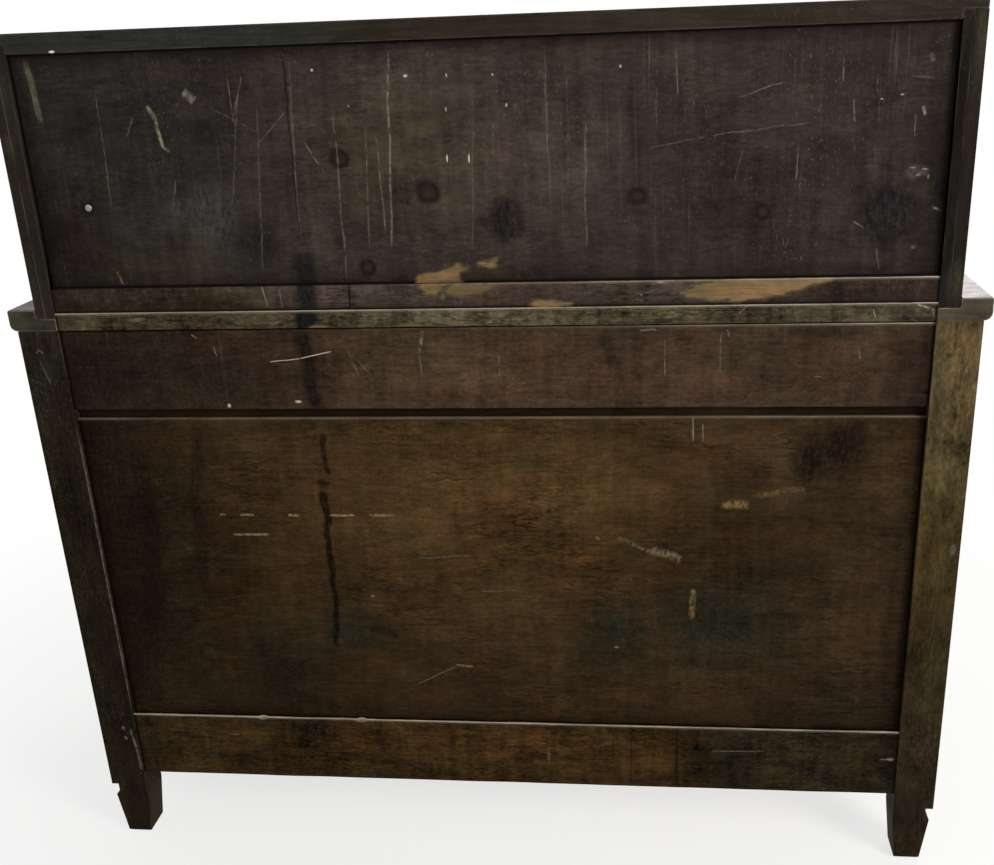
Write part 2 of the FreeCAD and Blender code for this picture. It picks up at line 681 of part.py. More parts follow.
def build_fall():
    """The fall with its writing leather, pivots, lock and keyhole plate."""
    leather_x = fall_half - S.leather_margin
    leather = block("writing_leather_sheet", (-leather_x, leather_x),
                    (fall_back - S.leather_thickness, fall_back),
                    (pivot_z + S.leather_margin, fall_top - S.leather_lock_margin))
    keep("writing_leather", leather)
    lock_half = S.lock_width / 2
    lock = block("fall_lock_blank", (-lock_half, lock_half), (fall_back - S.lock_thickness, fall_back),
                 (fall_top - S.lock_height, fall_top))
    bolt_x, bolt_y, bolt_z = bolt_place()
    gap = S.running_gap
    channel = block("bolt_channel", (bolt_x[0] - gap, bolt_x[1] + gap),
                    (bolt_y[0] - gap, bolt_y[1] + gap), (bolt_z[0] - gap, fall_top))
    key_way = keyhole("lock_keyhole", (upper_front, fall_back - S.lock_cover))
    keep("fall_lock_case", cut("fall_lock_case_cut", lock, [channel, key_way]))
    keep("fall_lock_bolt", block("fall_lock_bolt_bar", bolt_x, bolt_y, bolt_z))
    plate = build_escutcheon()
    pins, holes = [], []
    for side, sign in SIDES:
        tip = upper_inner + S.pivot_reach
        span = on_side(sign, tip - S.pivot_length, tip)
        pins.append(rod(f"pivot_pin_{side}", "x", S.pivot_radius, span, pivot_y, pivot_z))
        holes.append(rod(f"pivot_hole_{side}", "x", S.pivot_radius + S.fit_gap, span, pivot_y, pivot_z))
    keep("fall_pivots", group("fall_pivots_group", pins))
    keep("fall_board", cut("fall_board_cut", fall_blank(), [leather, lock, key_way, plate] + holes))


def dovetails(name, sign, count, y, z, wide_first):
    """Tails along a drawer side's end, as wedges that widen away from the side."""
    dw = inner - S.drawer_play
    x = on_side(sign, dw - S.drawer_side_thickness, dw)
    pitch = (z[1] - z[0]) / count
    root = pitch * (DOVETAIL_SHARE / 2)
    tails = []
    for index in range(count):
        middle = z[0] + pitch * (index + 0.5)
        narrow = (middle - root, middle + root)
        wide = (narrow[0] - S.dovetail_flare, narrow[1] + S.dovetail_flare)
        near, far = (wide, narrow) if wide_first else (narrow, wide)
        tail = doc.addObject("Part::Wedge", f"{name}_{index + 1}")
        for path, size in (("Xmin", x[0]), ("Xmax", x[1]), ("X2min", x[0]), ("X2max", x[1]),
                           ("Ymin", y[0]), ("Ymax", y[1]), ("Zmin", near[0]), ("Zmax", near[1]),
                           ("Z2min", far[0]), ("Z2max", far[1])):
            bind(tail, path, size)
        tails.append(tail)
    return tails


def build_knob(name, x, z):
    """A turned knob with a collar, a slim neck and a domed head, on a spigot."""
    body = doc.addObject("PartDesign::Body", f"{name}_body")
    profile = new_sketch(body, f"{name}_profile", "XY_Plane")
    reach = S.knob_projection
    rim = reach - S.knob_dome
    draw_outline(profile, (
        (ZERO, -reach), (ZERO, S.knob_spigot_length), (S.knob_spigot_radius, S.knob_spigot_length),
        (S.knob_spigot_radius, ZERO), (S.knob_base_radius, ZERO),
        (S.knob_base_radius, -S.knob_base_thickness), (S.knob_neck_radius, -S.knob_neck_reach),
        (S.knob_radius, -(rim - S.knob_rim)), (S.knob_radius, -rim),
    ), closed=False)
    last_line = profile.GeometryCount - 1
    radius = (S.knob_radius.value ** 2 + S.knob_dome.value ** 2) / (2 * S.knob_dome.value)
    circle = Part.Circle(FreeCAD.Vector(0, radius - reach.value, 0), FreeCAD.Vector(0, 0, 1), radius)
    apex = 1.5 * math.pi
    turn = math.asin(S.knob_radius.value / radius)
    dome = profile.addGeometry(Part.ArcOfCircle(circle, apex, apex + turn), False)
    profile.addConstraint(Sketcher.Constraint("Coincident", dome, 1, 0, 1))
    profile.addConstraint(Sketcher.Constraint("Coincident", dome, 2, last_line, 2))
    profile.addConstraint(Sketcher.Constraint("PointOnObject", dome, 3, -2))
    turned = body.newObject("PartDesign::Revolution", f"{name}_turned")
    turned.Profile = profile
    turned.ReferenceAxis = (profile, ["V_Axis"])
    turned.Angle = 360
    bind(body, "Placement.Base.x", x)
    bind(body, "Placement.Base.y", front)
    bind(body, "Placement.Base.z", z)
    return body


def build_drawer(name, level, opening, tails):
    """A long drawer: dovetailed front, sides and back, a bottom and two knobs."""
    dw = inner - S.drawer_play
    low = level + S.running_gap
    high = level + opening - S.drawer_play
    side_top = high - S.drawer_side_drop
    front_back = front + S.drawer_front_thickness
    end = rear - S.drawer_back_clearance
    back_front = end - S.drawer_side_thickness
    bottom_low = low + S.drawer_bottom_lift
    bottom_top = bottom_low + S.drawer_bottom_thickness
    floor_half = dw - S.drawer_side_thickness + S.drawer_groove
    bottom = block(f"{name}_bottom_board", (-floor_half, floor_half),
                   (front_back - S.drawer_groove, end), (bottom_low, bottom_top))
    keep(f"{name}_bottom", bottom)
    front_tails, back_tails = [], []
    for side, sign in SIDES:
        x = on_side(sign, dw - S.drawer_side_thickness, dw)
        ahead = dovetails(f"{name}_front_tail_{side}", sign, tails,
                          (front + S.drawer_lap, front_back), (low, side_top), True)
        behind = dovetails(f"{name}_back_tail_{side}", sign, tails,
                           (back_front, end), (bottom_top, side_top), False)
        board = block(f"{name}_side_{side}_board", x, (front_back, back_front), (low, side_top))
        heel = block(f"{name}_side_{side}_heel", x, (back_front, end), (low, bottom_top))
        whole = fuse(f"{name}_side_{side}_whole", [board, heel] + ahead + behind)
        keep(f"{name}_side_{side}", cut(f"{name}_side_{side}_cut", whole, [bottom]))
        front_tails += ahead
        back_tails += behind
    middle = (low + high) / 2
    knobs, holes = [], []
    for side, sign in SIDES:
        x = S.knob_spread * sign
        knobs.append(build_knob(f"{name}_knob_{side}", x, middle))
        holes.append(rod(f"{name}_knob_hole_{side}", "y", S.knob_spigot_radius + S.fit_gap,
                         (front, front + S.knob_spigot_length), x, middle))
    keep(f"{name}_knobs", group(f"{name}_knobs_group", knobs))
    face = block(f"{name}_front_board", (-dw, dw), (front, front_back), (low, high))
    keep(f"{name}_front", cut(f"{name}_front_cut", face, front_tails + [bottom] + holes))
    back = block(f"{name}_back_board", (-dw, dw), (back_front, end), (bottom_top, side_top))
    keep(f"{name}_back", cut(f"{name}_back_cut", back, back_tails))


def check_document():
    """Stop at any object that failed and at any piece with no sound solid."""
    doc.recompute()
    for item in doc.Objects:
        if "Invalid" in item.State or "Error" in item.State:
            raise RuntimeError(f"{item.Label} failed: {item.State}")
    for item in pieces:
        shape = item.Shape
        if shape.isNull() or not shape.isValid() or not shape.Solids:
            raise RuntimeError(f"{item.Label} has no valid solid")


def write_parts():
    """Write each piece to a file of its own name."""
    os.makedirs("parts", exist_ok=True)
    for item in pieces:
        item.Shape.exportStep(f"parts/{item.Label}.step")
    print(len(pieces), "pieces,", sum(len(item.Shape.Solids) for item in pieces), "solids")


back_pieces = build_lower_back()
side_pieces = {side: build_lower_side(side, sign) for side, sign in SIDES}
rail_pieces = build_front_rails()
build_posts(back_pieces, side_pieces, rail_pieces)
build_runners()
build_desk_case()
build_fall()
for drawer in DRAWERS:
    build_drawer(*drawer)
check_document()
write_parts()
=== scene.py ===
"""Finish of a secretaire chest: aged stained wood, turned knobs, leather and brass around its frame.

The frame's pieces keep their shapes. The boards of the back are made anew with their wear, the knobs
with a fuller turning and the writing leather with its tooling. Places are in the chest's own frame:
+Z up, the back towards +Y, and +X to the right as seen from the front. Sizes named in millimetres
are turned to metres by MM.
"""
import functools
import math
from typing import NamedTuple

import bpy
import numpy as np
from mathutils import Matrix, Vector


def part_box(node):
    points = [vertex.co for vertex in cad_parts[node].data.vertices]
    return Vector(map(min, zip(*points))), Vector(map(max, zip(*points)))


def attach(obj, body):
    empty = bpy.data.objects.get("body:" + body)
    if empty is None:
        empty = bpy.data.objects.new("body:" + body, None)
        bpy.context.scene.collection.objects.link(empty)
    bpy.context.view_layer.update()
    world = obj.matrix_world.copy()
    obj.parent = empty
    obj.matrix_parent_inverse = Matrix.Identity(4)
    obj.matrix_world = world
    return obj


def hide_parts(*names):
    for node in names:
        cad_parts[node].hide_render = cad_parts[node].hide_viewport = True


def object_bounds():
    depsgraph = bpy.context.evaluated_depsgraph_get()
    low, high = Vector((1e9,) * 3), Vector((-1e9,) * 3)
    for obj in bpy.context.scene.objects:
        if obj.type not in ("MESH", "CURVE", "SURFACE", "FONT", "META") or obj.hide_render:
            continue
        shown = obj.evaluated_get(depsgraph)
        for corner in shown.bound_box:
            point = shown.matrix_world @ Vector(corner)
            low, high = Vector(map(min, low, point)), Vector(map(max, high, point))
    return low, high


bl_info = {
    "name": "Secretaire Chest Finish",
    "version": (1, 0, 0),
    "blender": (4, 5, 0),
    "location": "3D View > Sidebar > Chest",
    "description": "Builds the finish, the knobs, the leather and the stage of a secretaire chest",
    "category": "Object",
}

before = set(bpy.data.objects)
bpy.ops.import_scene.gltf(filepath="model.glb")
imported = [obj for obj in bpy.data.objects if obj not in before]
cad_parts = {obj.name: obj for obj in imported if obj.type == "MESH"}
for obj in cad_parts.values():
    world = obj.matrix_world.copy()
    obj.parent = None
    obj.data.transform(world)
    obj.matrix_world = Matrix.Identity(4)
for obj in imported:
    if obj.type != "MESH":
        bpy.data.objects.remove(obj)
CAD_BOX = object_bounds()
MM = 0.001
DRAWERS = ("upper_drawer", "middle_drawer", "lower_drawer")
SIDES = ("left", "right")


def linear(hex_colour):
    """An sRGB hex colour as linear red, green, blue and alpha."""
    parts = np.array([int(hex_colour[start:start + 2], 16) for start in (1, 3, 5)]) / 255
    light = np.where(parts <= 0.04045, parts / 12.92, ((parts + 0.055) / 1.055) ** 2.4)
    return (*light.tolist(), 1.0)


def colour_property(name, description, hex_colour):
    """A colour that a user can change, with its default as an sRGB hex value."""
    return bpy.props.FloatVectorProperty(name=name, description=description, subtype="COLOR", size=4,
                                         min=0, max=1, default=linear(hex_colour))


def length_property(name, description, millimetres):
    """A length that a user can change, with its default in millimetres."""
    return bpy.props.FloatProperty(name=name, description=description, subtype="DISTANCE",
                                   unit="LENGTH", min=0, default=millimetres * MM)


class BackSettings(bpy.types.PropertyGroup):
    """Tones and wear of the stained back."""

    desk_panel: colour_property("Desk panel", "Stain of the upper back panel", "#352D26")
    desk_rail: colour_property("Desk rail", "Stain of the rail below the upper panel", "#4B3F37")
    slab_edge: colour_property("Slab edge", "Stain of the waist slab and its rear strip", "#4C4434")
    back_board: colour_property("Back board", "Stain of the board under the waist slab", "#423224")
    back_panel: colour_property("Back panel", "Stain of the large lower panel", "#382919")
    bottom_rail: colour_property("Bottom rail", "Stain of the rail below the large panel", "#322411")
    post: colour_property("Posts", "Stain of the rear posts", "#352A14")
    stile: colour_property("Stiles", "Stain of the desk case's stiles", "#1F1A16")
    top_edge: colour_property("Top board", "Stain of the top board", "#262119")
    bare_wood: colour_property("Bare wood", "Wood where the stain has flaked off", "#7B613A")
    pale_mark: colour_property("Pale marks", "Dried runs, scratches and spots", "#857D6F")
    # This pale colour stands both for arrises and chips rubbed pale and for painted highlights on lit
    # edges.
    arris_wear_and_highlight: colour_property("Worn arris", "Wood fibres rubbed pale along an arris", "#A79C87")
    # This dark colour is also used as painted shade on the upper panel: a band under the top board and its
    # ends.
    dark_stain_and_shade: colour_property("Dark stain", "Ink-like stains and knots", "#0D0B09")
    grid_step: length_property("Grid step", "Spacing of the boards' relief", 2.6)
    flake_depth: length_property("Flake depth", "How deep a flake of the face has come off", 0.8)
    arris: length_property("Arris", "Worn width of the back's arrises", 1.4)


class CaseSettings(bpy.types.PropertyGroup):
    """Tones of the polished outside and of the linings."""

    polished: colour_property("Polished wood", "Show wood of the front and the sides", "#54331D")
    turned: colour_property("Turned wood", "Wood of the knobs", "#3A2213")
    lining: colour_property("Lining wood", "Plain wood inside the drawers and the desk", "#8C6B45")
    arris: length_property("Arris", "Softened width of the polished arrises", 1.2)
    fine_arris: length_property("Fine arris", "Softened width of the linings' arrises", 0.5)
    knob_steps: bpy.props.IntProperty(name="Knob steps", description="Faces around a knob", default=48,
                                      min=12)


class FittingSettings(bpy.types.PropertyGroup):
    """Tones of metal and leather."""

    brass: colour_property("Brass", "Tarnished brass of the lock, plate and pivots", "#A07B42")
    iron: colour_property("Iron", "Worn iron of the bolt and the nail", "#8A857B")
    leather: colour_property("Leather", "Dyed writing leather", "#3B3F2C")
    gilding: colour_property("Gilding", "Worn gilding of the leather's border lines", "#9A7E45")
    leather_step: length_property("Leather step", "Spacing of the leather's relief", 3)
    tooling_depth: length_property("Tooling depth", "Depth of the leather's border lines", 0.3)


class StageSettings(bpy.types.PropertyGroup):
    """Light, floor and camera."""

    lens: bpy.props.FloatProperty(name="Lens", description="Focal length on a 36 mm sensor",
                                  subtype="DISTANCE_CAMERA", default=39.84)
    key_power: bpy.props.FloatProperty(name="Key power", description="Soft lamp behind the chest",
                                       subtype="POWER", unit="POWER", default=85)
    fill_power: bpy.props.FloatProperty(name="Fill power", description="Soft lamp before the chest",
                                        subtype="POWER", unit="POWER", default=70)
    sky: bpy.props.FloatProperty(name="Sky", description="Strength of the even light all around",
                                 default=0.45, min=0)
    floor: colour_property("Floor", "Pale floor", "#E8E6E2")


class Mark(NamedTuple):
    """A soft-edged spot on the rear face of a board, in millimetres, and how strongly it shows."""

    x: float
    z: float
    half_width: float
    half_height: float
    strength: float
    turn: float = 0.0
    even: bool = False


def stroke(x1, z1, x2, z2, width, strength):
    """A mark of even width from one point to another: its turn is the angle of that line."""
    length = math.hypot(x2 - x1, z2 - z1)
    turn = math.atan2(x2 - x1, z2 - z1)
    return Mark((x1 + x2) / 2, (z1 + z2) / 2, width / 2, length / 2, strength, turn, True)


class Layer(NamedTuple):
    """Marks of one colour.

    With hardness 1 a mark fades from its middle; with more it stays full nearly to its edge. The edge
    wanders by so many millimetres, and a share of the mark is broken up by fine noise. A mark reaches so
    many millimetres deep, which keeps it off a board's other face.
    """

    colour: tuple
    hardness: float
    marks: tuple
    wander: float
    broken: float
    depth: float


def layer(colour, hardness, wander, broken, *rows, depth=8):
    """A layer of marks from rows of numbers, in a colour or its sRGB hex value.

    Five numbers make a spot: its middle's x and z, half width, half height and strength. Six make a stroke:
    x and z of its start and of its end, its width and its strength.
    """
    tone = linear(colour) if isinstance(colour, str) else tuple(colour)
    marks = tuple(Mark(*row) if len(row) == 5 else stroke(*row) for row in rows)
    return Layer(tone, hardness, marks, wander, broken, depth)


class Finish(NamedTuple):
    """How a wooden surface looks: its tones, figure, gloss and what has happened to it.

    The weights are those of the rings, fibre, grit, patches, wash and blotches, in that order. Stains
    change the tone under the figure, and marks lie on top of it.
    """

    tone: tuple
    other: tuple
    contrast: float = 0.8
    ring_mm: float = 42
    fibre_mm: float = 1.5
    grit_mm: float = 4
    patch_mm: float = 26
    blotch_mm: float = 130
    weights: tuple = (0.1, 0.5, 0.7, 0.9, 0.6, 1.0)
    roughness: float = 0.6
    specular: float = 0.05
    coat: float = 0.0
    lean: float = 0.0
    craze: float = 0.0
    scuff: float = 0.0
    runs: float = 0.0
    dust: float = 0.0
    wear: float = 0.0
    relief: bool = False
    bare: tuple = (0.2, 0.13, 0.06, 1)
    pale: tuple = (0.3, 0.26, 0.2, 1)
    arris: tuple = (0.3, 0.26, 0.2, 1)
    stains: tuple = ()
    marks: tuple = ()


def node(tree, kind, inputs=(), out=0, **settings):
    """Add a shader node with its settings, set or link its inputs, and return one of its outputs."""
    made = tree.nodes.new("ShaderNode" + kind)
    for name, value in settings.items():
        setattr(made, name, value)
    for key, value in dict(inputs).items():
        if isinstance(value, bpy.types.NodeSocket):
            tree.links.new(value, made.inputs[key])
        else:
            made.inputs[key].default_value = value
    return made.outputs[out] if made.outputs else None


# The Mix node's sockets when it lays one colour over another: share, below, above and result.
SHARE, BELOW, ABOVE = 0, 6, 7
OVER = {"data_type": "RGBA", "out": 2}
# The Map Range node's sockets, in the order in which their values are given.
RANGE = ("Value", "From Min", "From Max", "To Min", "To Max")


def new_material(name):
    """An empty node material and the function that adds nodes to it."""
    material = bpy.data.materials.new(name)
    material.use_nodes = True
    material.node_tree.nodes.clear()
    return material, functools.partial(node, material.node_tree)


def scaled(colour, factor):
    """A colour made lighter or darker."""
    return (*(min(1.0, max(0.0, part * factor)) for part in colour[:3]), 1.0)


def streaks(add, place, along, length_mm, width_mm, detail=3.0, roughness=0.5):
    """Noise whose grains have a length along one axis and a width along the two others."""
    scale = [1 / (width_mm * MM)] * 3
    scale["xyz".index(along)] = 1 / (length_mm * MM)
    drawn = add("Mapping", {"Vector": place, "Scale": scale})
    return add("TexNoise", {"Vector": drawn, "Scale": 1.0, "Detail": detail, "Roughness": roughness})


def wandering(add, place, size_mm, reach_mm):
    """Coordinates that wander by noise in X and Z, so that what is drawn on them has uneven edges."""
    drift = add("TexNoise", {"Vector": place, "Scale": 1 / (size_mm * MM), "Detail": 3.0}, out=1)
    centred = add("VectorMath", {0: drift, 1: (0.5, 0.5, 0.5)}, operation="SUBTRACT")
    reach = 4 * reach_mm * MM
    return add("VectorMath", {0: centred, 1: (reach, 0, reach), 2: place}, operation="MULTIPLY_ADD")


def mark_cover(add, place, film, rear):
    """How far a point is covered by a layer's marks: each is a soft ellipsoid, the strongest counts.

    A mark of even width has its place along its length raised to the fifth power, so that it stays near
    the middle's width until its end.
    """
    cover = 0.0
    for mark in film.marks:
        spot = add("Mapping", {
            "Vector": place,
            "Location": (mark.x * MM, rear, mark.z * MM),
            "Rotation": (0, mark.turn, 0),
            "Scale": (mark.half_width * MM, film.depth * MM, mark.half_height * MM),
        }, vector_type="TEXTURE")
        if mark.even:
            spot = add("VectorMath", {0: spot, 1: (1, 1, 5)}, operation="POWER")
        soft = add("TexGradient", {"Vector": spot}, out=1, gradient_type="SPHERICAL")
        shown = add("MapRange", zip(RANGE, (soft, 0.0, 1 / film.hardness, 0.0, mark.strength)))
        cover = add("Math", {0: shown, 1: cover}, operation="MAXIMUM")
    return cover


# How the stain leans to green where it has faded and to rust where it lies thick: red, green, blue, alpha.
GREEN_LEAN = (0.84, 1.05, 0.96, 1)
RUST_LEAN = (1.16, 0.94, 0.74, 1)


def uneven_hue(add, place, colour, along, strength):
    """Old stain in which some patches lean to green and others to rust."""
    lean = add("ValToRGB", {0: streaks(add, place, along, 80, 42, 5.0, 0.65)})
    stops = lean.node.color_ramp.elements
    for stop, position, tint in ((stops[0], 0.38, GREEN_LEAN), (stops[1], 0.62, RUST_LEAN)):
        stop.position = position
        stop.color = tint
    stops.new(0.5).color = (1, 1, 1, 1)
    return add("Mix", {SHARE: strength, BELOW: colour, ABOVE: lean}, blend_type="MULTIPLY", **OVER)


# Growth rings between the lowest and the highest value of the noise that they follow.
RING_COUNT = 11.0


def wood_figure(add, place, finish, along, rear):
    """Plain wood: colour, then the height, the fibre and the patches that other steps use.

    Growth rings are contour lines of noise drawn out along the board, with fibre streaks over them.
    Grit is the mottle of dirt in the pores. Patches and blotches are where the stain took unevenly, the
    wash is where it ran down, and two tones drift into each other.
    """
    bent = wandering(add, place, 160, 3)
    field = streaks(add, bent, along, finish.ring_mm * 14, finish.ring_mm, 2.0)
    ring = add("Math", {0: add("Math", {0: field, 1: RING_COUNT}, operation="MULTIPLY")}, operation="FRACT")
    fibre = streaks(add, bent, along, finish.fibre_mm * 40, finish.fibre_mm, 3.0, 0.6)
    grit = streaks(add, bent, along, finish.grit_mm * 2, finish.grit_mm, 4.0, 0.75)
    patch = streaks(add, bent, along, finish.patch_mm * 2.2, finish.patch_mm, 5.0, 0.68)
    wash = streaks(add, bent, "z", 150, 13, 4.0, 0.6)
    blotch = streaks(add, place, along, finish.blotch_mm * 1.5, finish.blotch_mm, 4.0, 0.6)
    value = 0.5
    for pattern, weight in zip((ring, fibre, grit, patch, wash, blotch), finish.weights):
        centred = add("Math", {0: pattern, 1: weight, 2: -weight / 2}, operation="MULTIPLY_ADD")
        value = add("Math", {0: centred, 1: value}, operation="ADD")
    shade = add("ValToRGB", {0: value})
    stops = shade.node.color_ramp.elements
    for stop, factor in ((stops[0], 1 - finish.contrast), (stops[1], 1 + 1.3 * finish.contrast)):
        stop.color = (factor, factor, factor, 1)
    stops.new(0.5).color = (1, 1, 1, 1)
    drift = streaks(add, place, along, finish.blotch_mm * 2.6, finish.blotch_mm * 1.7, 4.0, 0.65)
    share = add("MapRange", zip(RANGE, (drift, 0.4, 0.6)))
    tone = add("Mix", {SHARE: share, BELOW: finish.tone, ABOVE: finish.other}, **OVER)
    tone = marked(add, place, tone, finish.stains, rear)
    colour = add("Mix", {SHARE: 1.0, BELOW: tone, ABOVE: shade}, blend_type="MULTIPLY", **OVER)
    if finish.lean:
        colour = uneven_hue(add, place, colour, along, finish.lean)
    height = add("Math", {0: ring, 1: 0.25, 2: fibre}, operation="MULTIPLY_ADD")
    return colour, height, fibre, patch


def laid_over(add, colour, above, strength, line, line_range, where, where_range, blend="MIX"):
    """A colour laid over another where one pattern is high inside the high parts of a second one."""
    fine = add("MapRange", zip(RANGE, (line, *line_range)))
    broad = add("MapRange", zip(RANGE, (where, *where_range, 0.0, strength)))
    share = add("Math", {0: fine, 1: broad}, operation="MULTIPLY")
    return add("Mix", {SHARE: share, BELOW: colour, ABOVE: above}, blend_type=blend, **OVER)


# Cracks in the finish: where in the noise they run, how dark or pale they are, and how strong. The pale
# line beside a crack is a painted highlight on its lifted edge.
CRACK = (0.5, 0.25, 1.0)
LIFTED_EDGE_HIGHLIGHT = (0.55, 1.9, 0.6)


def handled(add, place, colour, finish, along):
    """Cracked finish, upright runs, fine scratches and dust, each as strong as the finish says."""
    if finish.craze:
        # Cracks run where drawn-out noise crosses its middle value, in patches the width of a hand. On
        # one side of a crack the finish has lifted, and a painted highlight makes that edge paler.
        field = streaks(add, wandering(add, place, 30, 1.5), along, 80, 12, 4.0, 0.62)
        where = streaks(add, place, along, 130, 80, 4.0, 0.6)
        for level, factor, share in (CRACK, LIFTED_EDGE_HIGHLIGHT):
            off = add("Math", {0: field, 1: level}, operation="SUBTRACT")
            line = add("Math", {0: off}, operation="ABSOLUTE")
            colour = laid_over(add, colour, (factor, factor, factor, 1), share * finish.craze,
                               line, (0.024, 0.006), where, (0.44, 0.6), "MULTIPLY")
    if finish.runs:
        line = streaks(add, wandering(add, place, 25, 0.5), "z", 170, 2.4, 2.0)
        where = streaks(add, place, "z", 110, 70, 2.0)
        colour = laid_over(add, colour, finish.pale, finish.runs, line, (0.64, 0.78), where, (0.5, 0.68))
    if finish.scuff:
        # Scratches are drawn about a millimetre wide, coarser than they are, so that they show.
        for turn in (0.35, -0.9, 1.45):
            turned = add("Mapping", {"Vector": place, "Rotation": (0, turn, 0)})
            line = streaks(add, turned, "x", 90, 1.2, 2.0)
            where = streaks(add, turned, "x", 150, 70, 2.0)
            colour = laid_over(add, colour, finish.pale, finish.scuff, line, (0.68, 0.8), where,
                               (0.48, 0.68))
    if finish.dust:
        # Specks of dust and chipped finish, one to three millimetres wide, in clouds.
        line = streaks(add, place, "z", 4.5, 2.2, 3.0, 0.6)
        where = streaks(add, place, "z", 120, 80, 3.0)
        colour = laid_over(add, colour, finish.pale, finish.dust, line, (0.6, 0.76), where, (0.44, 0.66))
    return colour


def marked(add, place, colour, layers, rear):
    """Stains or marks laid over a colour, layer by layer, their edges uneven and their faces broken up."""
    crumbs = streaks(add, place, "z", 9, 4.5, 5.0, 0.72)
    for film in layers:
        slow = wandering(add, place, max(45, 9 * film.wander), film.wander)
        uneven = wandering(add, slow, 12, 0.15 * film.wander)
        cover = mark_cover(add, uneven, film, rear)
        kept = add("MapRange", zip(RANGE, (crumbs, 0.4, 0.58, 1 - film.broken)))
        share = add("Math", {0: cover, 1: kept}, operation="MULTIPLY")
        colour = add("Mix", {SHARE: share, BELOW: colour, ABOVE: film.colour}, **OVER)
    return colour


def flaked(add, place, colour, finish, along, fibre, patch):
    """Dirt and painted shade towards housed edges and on a tongue, bare wood in the flakes, and pale
    arrises, partly wear and partly painted highlight, read from the board's relief.
    """
    # Painted shade with dirt: darker towards housed edges, where the frame shades the face, and on a
    # tongue.
    grime_and_shade = add("Attribute", out="Fac", attribute_name="grime_and_shade")
    patchy = streaks(add, place, along, 50, 18, 4.0, 0.65)
    share = add("MapRange", zip(RANGE, (patchy, 0.3, 0.6, 0.3, 0.85)))
    share = add("Math", {0: share, 1: grime_and_shade}, operation="MULTIPLY")
    # A painted shadow line: within a few millimetres of a housed edge the face goes nearly black.
    joint = add("MapRange", zip(RANGE, (grime_and_shade, 0.7, 0.88)))
    share = add("Math", {0: share, 1: joint}, operation="MAXIMUM")
    colour = add("Mix", {SHARE: share, BELOW: colour, ABOVE: scaled(finish.tone, 0.1)}, **OVER)
    # A flake breaks along the fibres, so its edge follows noise drawn out along the board. Around it the
    # stain has thinned to olive, and inside it the wood is tan, rosy and greyed in turn.
    edge = streaks(add, place, along, 30, 2.2, 5.0, 0.7)
    bare = add("Attribute", out="Fac", attribute_name="bare")
    inside = add("Math", {0: edge, 1: 1.6, 2: bare}, operation="MULTIPLY_ADD")
    share = add("MapRange", zip(RANGE, (inside, 0.1, 0.8, 0.0, 0.5)))
    colour = add("Mix", {SHARE: share, BELOW: colour, ABOVE: linear("#5B5234")}, **OVER)
    wood = finish.bare
    for tint, *reach in (("#83654C", patch, 0.42, 0.56), ("#5F5338", patchy, 0.44, 0.58, 0.0, 0.85),
                         ("#4F422C", fibre, 0.3, 0.55, 0.5, 0.0)):
        share = add("MapRange", zip(RANGE, reach))
        wood = add("Mix", {SHARE: share, BELOW: wood, ABOVE: linear(tint)}, **OVER)
    share = add("MapRange", zip(RANGE, (inside, 0.6, 1.1)))
    colour = add("Mix", {SHARE: share, BELOW: colour, ABOVE: wood}, **OVER)
    # The pale arris is partly wear and partly a painted highlight where light catches the edge.
    rubbed = add("Attribute", out="Fac", attribute_name="arris")
    patchy = streaks(add, place, along, 70, 9, 5.0, 0.72)
    share = add("MapRange", zip(RANGE, (patchy, 0.36, 0.58, 0.45)))
    share = add("Math", {0: share, 1: rubbed}, operation="MULTIPLY")
    return add("Mix", {SHARE: share, BELOW: colour, ABOVE: finish.arris}, **OVER)


def wood_material(name, finish, along, rear=0.0):
    """Sawn or planed wood under old stain or polish, with its figure, wear and marks."""
    material, add = new_material(name)
    place = add("TexCoord", out="Object")
    colour, height, fibre, patch = wood_figure(add, place, finish, along, rear)
    colour = handled(add, place, colour, finish, along)
    colour = marked(add, place, colour, finish.marks, rear)
    if finish.relief:
        colour = flaked(add, place, colour, finish, along, fibre, patch)
    if finish.wear:
        # Along an arris the stain is rubbed through in lengths of a few centimetres.
        patchy = streaks(add, place, along, 60, 7, 5.0, 0.7)
        share = add("MapRange", zip(RANGE, (patchy, 0.4, 0.62, 0.0, finish.wear)))
        colour = add("Mix", {SHARE: share, BELOW: colour, ABOVE: finish.arris}, **OVER)
    bump = add("Bump", {"Strength": 0.5, "Distance": 0.4 * MM, "Height": height})
    gloss = add("MapRange", zip(RANGE, (patch, 0.3, 0.7, finish.roughness - 0.1, finish.roughness + 0.12)))
    shader = add("BsdfPrincipled", {
        "Base Color": colour, "Roughness": gloss, "Specular IOR Level": finish.specular,
        "Coat Weight": finish.coat, "Coat Roughness": 0.22, "Normal": bump,
    })
    add("OutputMaterial", {"Surface": shader})
    return material


def metal_material(name, tone, roughness):
    """Old metal, rubbed bright in places and tarnished in others, with fine handling scratches."""
    material, add = new_material(name)
    place = add("TexCoord", out="Object")
    tarnish = streaks(add, place, "x", 9, 9, 5.0, 0.65)
    dull = add("MapRange", zip(RANGE, (tarnish, 0.35, 0.68)))
    colour = add("Mix", {SHARE: dull, BELOW: tone, ABOVE: scaled(tone, 0.4)}, **OVER)
    worn = add("MapRange", zip(RANGE, (tarnish, 0.3, 0.7, roughness - 0.08, roughness + 0.25)))
    scratches = streaks(add, place, "x", 12, 0.5, 2.0)
    bump = add("Bump", {"Strength": 0.3, "Distance": 0.1 * MM, "Height": scratches})
    shader = add("BsdfPrincipled", {"Base Color": colour, "Metallic": 1.0, "Roughness": worn,
                                    "Normal": bump})
    add("OutputMaterial", {"Surface": shader})
    return material


